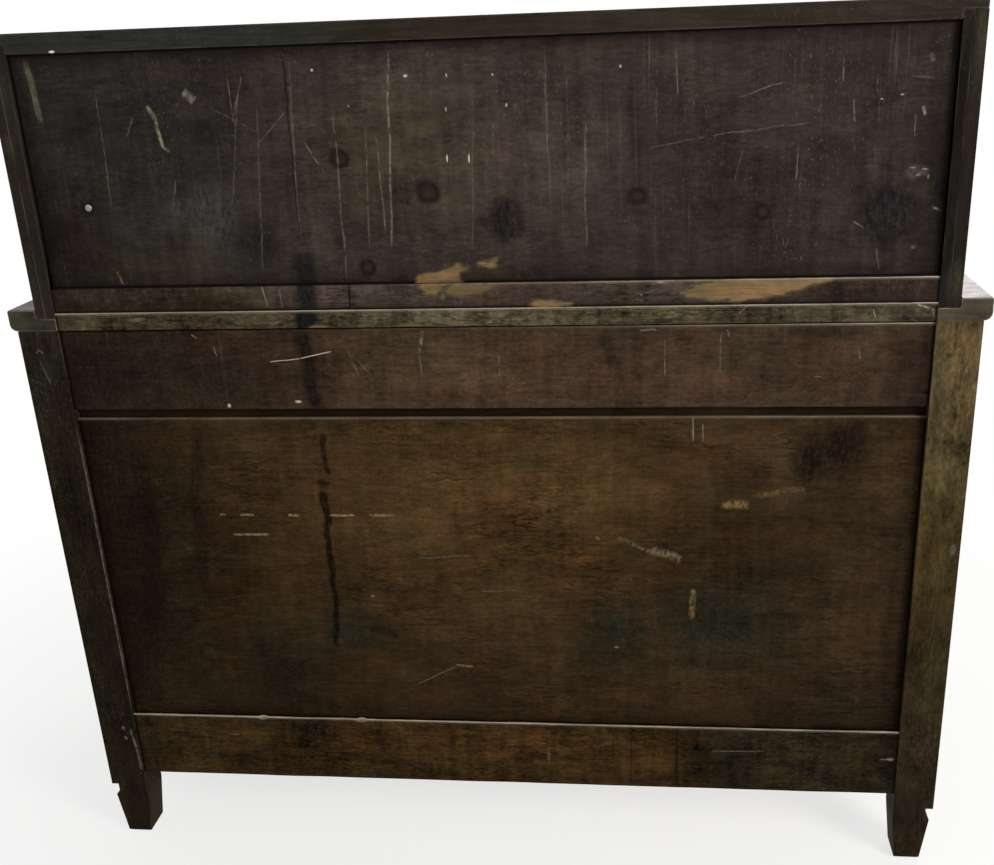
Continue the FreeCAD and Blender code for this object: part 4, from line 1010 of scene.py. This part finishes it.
def back_finishes(settings):
    """The finish of each board of the back, by the name of the frame's piece."""
    aged = Finish(tone=None, other=None, lean=0.45, craze=0.7, scuff=0.2, dust=0.22, relief=True,
                  bare=tuple(settings.bare_wood), pale=tuple(settings.pale_mark),
                  arris=tuple(settings.arris_wear_and_highlight))
    narrow = aged._replace(contrast=1.0, specular=0.03, weights=(0.1, 0.7, 1.4, 1.2, 0.8, 1.4))
    return {
        "desk_back_panel": aged._replace(
            tone=settings.desk_panel, other=linear("#2F2724"), runs=0.25, dust=0.35, craze=0.4, lean=0.25,
            weights=(0.0, 0.2, 1.0, 0.9, 0.7, 1.0), **desk_panel_age(settings)),
        "desk_back_rail": narrow._replace(
            tone=settings.desk_rail, other=linear("#41362F"), contrast=0.85,
            weights=(0.1, 0.4, 1.1, 1.2, 0.8, 1.4), **desk_rail_age(settings)),
        "slab_rear_strip": narrow._replace(
            tone=settings.slab_edge, other=linear("#3F3626"), lean=0.15, **strip_age(settings)),
        "back_board": aged._replace(
            tone=settings.back_board, other=linear("#3A2B20"), runs=0.2, craze=0.3, specular=0.04,
            weights=(0.1, 0.3, 1.1, 1.0, 0.6, 1.1), **back_board_age(settings)),
        "back_panel": aged._replace(
            tone=settings.back_panel, other=linear("#312312"), scuff=0.16, specular=0.03,
            pale=linear("#7A6B4C"), weights=(0.1, 0.35, 1.1, 0.9, 0.5, 1.2), **back_panel_age(settings)),
        "back_bottom_rail": narrow._replace(
            tone=settings.bottom_rail, other=linear("#2A1E0C"), **bottom_rail_age(settings)),
    }


class CHEST_OT_back_boards(bpy.types.Operator):
    """Make the boards of the back with their bow, flakes, chips and worn arrises"""

    bl_idname = "chest.back_boards"
    bl_label = "Back boards"

    def execute(self, context):
        settings = context.scene.chest_back
        finishes = back_finishes(settings)
        for board in BACK_BOARDS:
            made = back_board(board, settings)
            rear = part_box(board.piece)[1].y
            material = wood_material(f"stained_pine_{board.piece}", finishes[board.piece], "x", rear)
            made.data.materials.append(material)
            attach(made, "case")
            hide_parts(board.piece)
        return {"FINISHED"}


# How a frame piece's edges are found: points this close are one, faces this flat are joined, and edges
# sharper than the last angle are rounded.
WELD_DISTANCE = 0.02 * MM
FLAT_ANGLE = math.radians(0.3)
SHARP_ANGLE = math.radians(38)


def soften(piece, width, face, arris):
    """Break a piece's sharp edges: weld its faces, join flat ones and bevel what is left sharp.

    The face material covers the piece and the arris material its bevels.
    """
    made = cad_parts[piece]
    made.data.materials.clear()
    made.data.materials.append(face)
    made.data.materials.append(arris)
    weld = made.modifiers.new("weld", "WELD")
    weld.merge_threshold = WELD_DISTANCE
    flat = made.modifiers.new("flat_faces", "DECIMATE")
    flat.decimate_type = "DISSOLVE"
    flat.angle_limit = FLAT_ANGLE
    bevel = made.modifiers.new("arris", "BEVEL")
    bevel.width = width
    bevel.segments = 2
    bevel.limit_method = "ANGLE"
    bevel.angle_limit = SHARP_ANGLE
    bevel.material = 1
    shading = made.modifiers.new("shading", "WEIGHTED_NORMAL")
    shading.keep_sharp = True


# Pieces whose grain doesn't run along their longest side.
GRAIN = {"desk_side_left": "z", "desk_side_right": "z", "pigeonhole_partitions": "z",
         "drawer_runners": "y"}


def grain_of(piece):
    """The axis that a piece's grain runs along: its longest, unless the list above says another."""
    low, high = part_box(piece)
    size = [high[axis] - low[axis] for axis in range(3)]
    return GRAIN.get(piece, "xyz"[size.index(max(size))])


def finish_pieces(pieces, label, finish, width, wear):
    """Give pieces one finish, a material for each way their grain runs, and worn arrises."""
    rear = CAD_BOX[1][1]
    made = {}
    for piece in pieces:
        along = grain_of(piece)
        if along not in made:
            face = wood_material(f"{label}_{along}", finish, along, rear)
            arris = wood_material(f"{label}_arris_{along}", finish._replace(wear=wear), along, rear)
            made[along] = (face, arris)
        soften(piece, width, *made[along])


def both(*names):
    """The left and the right piece of each name."""
    return [f"{name}_{side}" for name in names for side in SIDES]


class CHEST_OT_rear_frame(bpy.types.Operator):
    """Finish the rear posts and the stiles of the desk case"""

    bl_idname = "chest.rear_frame"
    bl_label = "Rear frame"

    def execute(self, context):
        settings = context.scene.chest_back
        show = context.scene.chest_case.polished
        posts = Finish(tone=show, other=scaled(show, 0.75), fibre_mm=1.8, patch_mm=16, blotch_mm=90,
                       weights=(0.0, 0.4, 1.2, 1.5, 0.5, 1.3), specular=0.03, lean=0.4, craze=0.5,
                       scuff=0.2, dust=0.3, pale=tuple(settings.pale_mark),
                       arris=tuple(settings.arris_wear_and_highlight), **post_age(settings))
        finish_pieces(both("rear_post"), "stained_post", posts, settings.arris, 0.12)
        stiles = posts._replace(tone=linear("#5A3F2F"), other=linear("#4A3124"), contrast=0.5, ring_mm=60,
                                weights=(0.35, 0.8, 0.5, 0.6, 0.2, 0.9), lean=0.1, craze=0.2, dust=0.15,
                                marks=(), **stile_age(settings))
        finish_pieces(both("desk_side", "desk_batten"), "stained_stile", stiles, settings.arris, 0.1)
        return {"FINISHED"}


class CHEST_OT_slab_and_top(bpy.types.Operator):
    """Finish the waist slab and the top board"""

    bl_idname = "chest.slab_and_top"
    bl_label = "Slab and top"

    def execute(self, context):
        settings = context.scene.chest_back
        show = context.scene.chest_case.polished
        slab = Finish(tone=show, other=scaled(show, 0.75), patch_mm=20, roughness=0.36, specular=0.15,
                      contrast=0.6, weights=(0.25, 0.6, 0.6, 0.8, 0.3, 0.9), scuff=0.2, dust=0.15,
                      pale=tuple(settings.pale_mark), arris=tuple(settings.arris_wear_and_highlight),
                      **slab_age(settings))
        finish_pieces(["waist_slab"], "stained_slab", slab, settings.arris, 0.3)
        top = slab._replace(roughness=0.5, specular=0.05, **top_age(settings))
        finish_pieces(["top_board"], "stained_top", top, settings.arris, 0.1)
        return {"FINISHED"}


class CHEST_OT_show_wood(bpy.types.Operator):
    """Finish the polished front and sides"""

    bl_idname = "chest.show_wood"
    bl_label = "Show wood"

    def execute(self, context):
        settings = context.scene.chest_case
        polished = Finish(tone=settings.polished, other=linear("#452814"), contrast=0.5, ring_mm=60,
                          weights=(0.35, 0.8, 0.25, 0.4, 0.0, 0.9), roughness=0.34, specular=0.35,
                          coat=0.12, scuff=0.08, arris=linear("#7A5836"))
        pieces = both("front_post", "side_top_rail", "side_bottom_rail", "side_panel")
        pieces += ["front_top_rail", "drawer_divider_upper", "drawer_divider_lower", "front_bottom_rail"]
        pieces += ["fall_board"] + [f"{drawer}_front" for drawer in DRAWERS]
        finish_pieces(pieces, "polished_walnut", polished, settings.arris, 0.5)
        return {"FINISHED"}


class CHEST_OT_linings(bpy.types.Operator):
    """Finish the plain wood inside the drawers and the desk"""

    bl_idname = "chest.linings"
    bl_label = "Linings"

    def execute(self, context):
        settings = context.scene.chest_case
        lining = Finish(tone=settings.lining, other=linear("#7A5A38"), contrast=0.45, ring_mm=30,
                        weights=(0.3, 0.9, 0.3, 0.5, 0.0, 0.8), roughness=0.62, specular=0.25,
                        scuff=0.08, arris=linear("#5B4229"))
        pieces = ["drawer_runners", "drawer_stops", "case_bottom", "desk_floor", "pigeonhole_shelf",
                  "pigeonhole_partitions"]
        parts = ("side_left", "side_right", "back", "bottom")
        pieces += [f"{drawer}_{part}" for drawer in DRAWERS for part in parts]
        finish_pieces(pieces, "lining_oak", lining, settings.fine_arris, 0.4)
        return {"FINISHED"}


# Half section of a turned knob: distance from the drawer as a share of its projection, then radius as a
# share of its head's. A collar, a hollow neck, a bead and a domed head.
KNOB_PROFILE = ((0.0, 0.0), (0.0, 0.72), (0.05, 0.735), (0.1, 0.7), (0.13, 0.6), (0.2, 0.5), (0.3, 0.445),
                (0.4, 0.45), (0.5, 0.53), (0.6, 0.72), (0.66, 0.88), (0.71, 0.965), (0.76, 0.995),
                (0.81, 0.985), (0.87, 0.9), (0.93, 0.7), (0.97, 0.46), (0.992, 0.22), (1.0, 0.0))
# The same for a nail: a flat head with a rounded rim and a dished middle.
NAIL_PROFILE = ((0.0, 0.0), (0.0, 0.9), (0.3, 1.0), (0.7, 0.97), (0.95, 0.82), (1.0, 0.6), (0.8, 0.3),
                (0.72, 0.0))


def turned_piece(name, profile, centres, base, length, radius, steps):
    """Turned shapes along Y: a half section carried around each centre's axis and closed on it.

    The section starts at the base and runs by the length, so a negative length runs to the front.
    """
    reach, width = np.array(profile).T
    turn = np.linspace(0, 2 * math.pi, steps, endpoint=False)
    rings = len(reach) - 2
    wide = radius * width[1:-1, None]
    along = np.repeat(base + length * reach[1:-1, None], steps, axis=1)
    number = np.arange(rings * steps).reshape(rings, steps)
    beside = np.roll(number, -1, axis=1)
    first, last = rings * steps, rings * steps + 1
    sides = np.stack([number[:-1], beside[:-1], beside[1:], number[1:]], axis=-1).reshape(-1, 4)
    caps = np.concatenate([np.stack([np.full(steps, first), beside[0], number[0]], axis=-1),
                           np.stack([np.full(steps, last), number[-1], beside[-1]], axis=-1)])
    if length < 0:
        sides, caps = sides[:, ::-1], caps[:, ::-1]
    points, faces = [], []
    for order, (x, z) in enumerate(centres):
        start = order * (last + 1)
        skin = np.stack([x + wide * np.cos(turn), along, z + wide * np.sin(turn)], axis=-1).reshape(-1, 3)
        points.append(np.concatenate([skin, [(x, base, z), (x, base + length * reach[-1], z)]]))
        faces += (sides + start).tolist() + (caps + start).tolist()
    return new_piece(name, np.concatenate(points), faces, np.ones(len(faces), bool))


class CHEST_OT_knobs(bpy.types.Operator):
    """Turn the drawers' knobs"""

    bl_idname = "chest.knobs"
    bl_label = "Knobs"

    def execute(self, context):
        settings = context.scene.chest_case
        finish = Finish(tone=settings.turned, other=linear("#2E1A0E"), contrast=0.5, ring_mm=12,
                        fibre_mm=1.0, patch_mm=9, blotch_mm=30, roughness=0.3, specular=0.4, coat=0.2)
        material = wood_material("turned_walnut", finish, "z")
        for drawer in DRAWERS:
            low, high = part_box(f"{drawer}_knobs")
            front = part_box(f"{drawer}_front")[0].y
            radius = (high.z - low.z) / 2
            middle = low.z + radius
            made = turned_piece(f"{drawer}_turned_knobs", KNOB_PROFILE,
                                ((low.x + radius, middle), (high.x - radius, middle)),
                                front, low.y - front, radius, settings.knob_steps)
            made.data.materials.append(material)
            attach(made, drawer)
            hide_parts(f"{drawer}_knobs")
        return {"FINISHED"}


# Border lines of the leather, as distances in from its edge in millimetres.
TOOLED_LINES = (14, 18)
TOOLED_WIDTH = 1.6
LEATHER_BORDER = 24


class CHEST_OT_writing_leather(bpy.types.Operator):
    """Lay the writing leather into the fall, with two tooled border lines"""

    bl_idname = "chest.writing_leather"
    bl_label = "Writing leather"

    def execute(self, context):
        settings = context.scene.chest_fittings
        low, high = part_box("writing_leather")
        tooled = [inset + side * TOOLED_WIDTH / 2 for inset in TOOLED_LINES for side in (-1, 0, 1)]
        rim = np.array([0] + tooled) * MM
        border = LEATHER_BORDER * MM
        lines = []
        for axis in (0, 2):
            start, end = low[axis], high[axis]
            inside = np.arange(start + border, end - border, settings.leather_step)
            lines.append(np.concatenate([start + rim, inside, (end - rim)[::-1]]))
        x, z = np.meshgrid(*lines, indexing="ij")
        inset = np.minimum(np.minimum(x - low.x, high.x - x), np.minimum(z - low.z, high.z - z))
        nearest = np.min([np.abs(inset - line * MM) for line in TOOLED_LINES], axis=0)
        tooling = 1 - smooth_step(0.2 * TOOLED_WIDTH * MM, 0.5 * TOOLED_WIDTH * MM, nearest)
        ground = 0.1 * MM * (1 + waves(x, z, 40, 31) / 3)
        depth = np.clip(ground, 0, None) + settings.tooling_depth * tooling
        made = closed_relief("writing_leather_tooled", x, high.y - depth, z, low.y,
                             {"tooling": (tooling, 0, 0)})
        made.data.materials.append(leather_material("dyed_skiver", settings.leather, settings.gilding))
        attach(made, "fall")
        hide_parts("writing_leather")
        return {"FINISHED"}


# Middle of the nail in the upper panel, its radius, the height of its head and how deep that is seated, in
# millimetres, and the faces around it.
NAIL_PLACE = (459, 904)
NAIL_RADIUS = 4.2
NAIL_HEIGHT = 1.6
NAIL_SEAT = 1.0
NAIL_STEPS = 24
METAL_ARRIS = 0.25 * MM


class CHEST_OT_fittings(bpy.types.Operator):
    """Finish the brass and iron fittings of the fall, and drive the nail in the upper panel"""

    bl_idname = "chest.fittings"
    bl_label = "Fittings"

    def execute(self, context):
        settings = context.scene.chest_fittings
        brass = metal_material("tarnished_brass", settings.brass, 0.34)
        iron = metal_material("worn_iron", settings.iron, 0.42)
        for piece in ("fall_lock_case", "fall_escutcheon", "fall_pivots", "pivot_bushes"):
            soften(piece, METAL_ARRIS, brass, brass)
        soften("fall_lock_bolt", METAL_ARRIS, iron, iron)
        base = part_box("desk_back_panel")[1].y - NAIL_SEAT * MM
        centre = (NAIL_PLACE[0] * MM, NAIL_PLACE[1] * MM)
        nail = turned_piece("panel_nail", NAIL_PROFILE, (centre,), base, NAIL_HEIGHT * MM,
                            NAIL_RADIUS * MM, NAIL_STEPS)
        nail.data.materials.append(metal_material("zinc_coated_steel", linear("#A5A39D"), 0.5))
        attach(nail, "case")
        return {"FINISHED"}


# Where the soft lamps stand and how wide they are, what they are turned to, and half the floor's width, in
# metres.
KEY_PLACE = (-2.4, 1.9, 1.8)
KEY_SIZE = 1.0
FILL_PLACE = (-1.8, -2.8, 2.2)
FILL_SIZE = 2.0
LAMP_AIM = (0.0, 0.1, 0.55)
FLOOR_REACH = 14.0


class CHEST_OT_stage(bpy.types.Operator):
    """Set up the floor, the soft light and the camera"""

    bl_idname = "chest.stage"
    bl_label = "Stage"

    def execute(self, context):
        settings = context.scene.chest_stage
        scene = context.scene
        scene.view_settings.view_transform = "Standard"
        build_floor(settings)
        build_sky(scene, settings)
        add_lamp(scene, "key", KEY_PLACE, KEY_SIZE, settings.key_power)
        add_lamp(scene, "fill", FILL_PLACE, FILL_SIZE, settings.fill_power)
        add_camera(scene, settings)
        return {"FINISHED"}


def seen_directly(add):
    """1 for rays that show the background to the eye, in a mirror or through glass, else 0."""
    seen = 0.0
    for ray in ("Is Camera Ray", "Is Glossy Ray", "Is Transmission Ray"):
        seen = add("Math", {0: add("LightPath", out=ray), 1: seen}, operation="MAXIMUM")
    return seen


def build_floor(settings):
    """A wide pale floor: white further off, and near the chest plain enough to take its shadow."""
    corners = FLOOR_REACH * np.array([(-1, -1, 0), (1, -1, 0), (1, 1, 0), (-1, 1, 0)])
    floor = new_piece("floor", corners, [(0, 1, 2, 3)], np.zeros(1, bool))
    material, add = new_material("pale_floor")
    distance = add("VectorMath", {0: add("TexCoord", out="Object")}, out=1, operation="LENGTH")
    share = add("MapRange", zip(RANGE, (distance, 0.5, 1.5, 0.72, 1.0)))
    share = add("Math", {0: share, 1: seen_directly(add)}, operation="MULTIPLY")
    matt = add("BsdfDiffuse", {"Color": settings.floor})
    white = add("Emission", {"Color": (1, 1, 1, 1), "Strength": 1.0})
    add("OutputMaterial", {"Surface": add("MixShader", {0: share, 1: matt, 2: white})})
    floor.data.materials.append(material)


def build_sky(scene, settings):
    """An even white sky: full white where it is seen, weaker as light on the chest."""
    scene.world = bpy.data.worlds.new("studio")
    scene.world.use_nodes = True
    scene.world.node_tree.nodes.clear()
    add = functools.partial(node, scene.world.node_tree)
    strength = add("MapRange", zip(RANGE, (seen_directly(add), 0.0, 1.0, settings.sky, 1.0)))
    add("OutputWorld", {"Surface": add("Background", {"Color": (1, 1, 1, 1), "Strength": strength})})


def add_lamp(scene, name, place, size, power):
    """A square soft lamp turned towards the chest."""
    lamp = bpy.data.lights.new(name, "AREA")
    lamp.size = size
    lamp.energy = power
    made = bpy.data.objects.new(name, lamp)
    made.location = place
    away = made.location - type(made.location)(LAMP_AIM)
    made.rotation_euler = away.to_track_quat("Z", "Y").to_euler()
    scene.collection.objects.link(made)


# The photograph's view: the camera stands behind the chest, level with its top and looking down.
CAMERA_PLACE = (-0.206, 1.511, 1.086)
CAMERA_TURN = (69.709, 2.071, -174.701)
SENSOR_WIDTH = 36
IMAGE_WIDTH = 994
IMAGE_MIDDLE = 546


def add_camera(scene, settings):
    """The camera at the photograph's place; its picture's middle lies to the right of the frame's."""
    lens = bpy.data.cameras.new("camera")
    lens.lens = settings.lens
    lens.sensor_width = SENSOR_WIDTH
    lens.sensor_fit = "HORIZONTAL"
    lens.shift_x = (IMAGE_WIDTH / 2 - IMAGE_MIDDLE) / IMAGE_WIDTH
    made = bpy.data.objects.new("camera", lens)
    made.location = CAMERA_PLACE
    made.rotation_euler = [math.radians(angle) for angle in CAMERA_TURN]
    scene.collection.objects.link(made)
    scene.camera = made


OPERATORS = (CHEST_OT_back_boards, CHEST_OT_rear_frame, CHEST_OT_slab_and_top, CHEST_OT_show_wood,
             CHEST_OT_linings, CHEST_OT_knobs, CHEST_OT_writing_leather, CHEST_OT_fittings, CHEST_OT_stage)
SETTINGS = {"chest_back": BackSettings, "chest_case": CaseSettings, "chest_fittings": FittingSettings,
            "chest_stage": StageSettings}


class CHEST_PT_finish(bpy.types.Panel):
    """Settings and steps of the chest's finish"""

    bl_label = "Secretaire Chest"
    bl_idname = "CHEST_PT_finish"
    bl_space_type = "VIEW_3D"
    bl_region_type = "UI"
    bl_category = "Chest"

    def draw(self, context):
        for name, group in SETTINGS.items():
            box = self.layout.box()
            for label in group.__annotations__:
                box.prop(getattr(context.scene, name), label)
        for operator in OPERATORS:
            self.layout.operator(operator.bl_idname)


CLASSES = (*SETTINGS.values(), *OPERATORS, CHEST_PT_finish)


def register():
    """Make the settings, the steps and the panel known."""
    for item in CLASSES:
        bpy.utils.register_class(item)
    for name, group in SETTINGS.items():
        setattr(bpy.types.Scene, name, bpy.props.PointerProperty(type=group))


def unregister():
    """Take the settings, the steps and the panel away again."""
    for name in SETTINGS:
        delattr(bpy.types.Scene, name)
    for item in reversed(CLASSES):
        bpy.utils.unregister_class(item)


def main():
    """Run every step."""
    register()
    for operator in OPERATORS:
        group, step = operator.bl_idname.split(".")
        getattr(getattr(bpy.ops, group), step)()


if __name__ == "__main__":
    main()
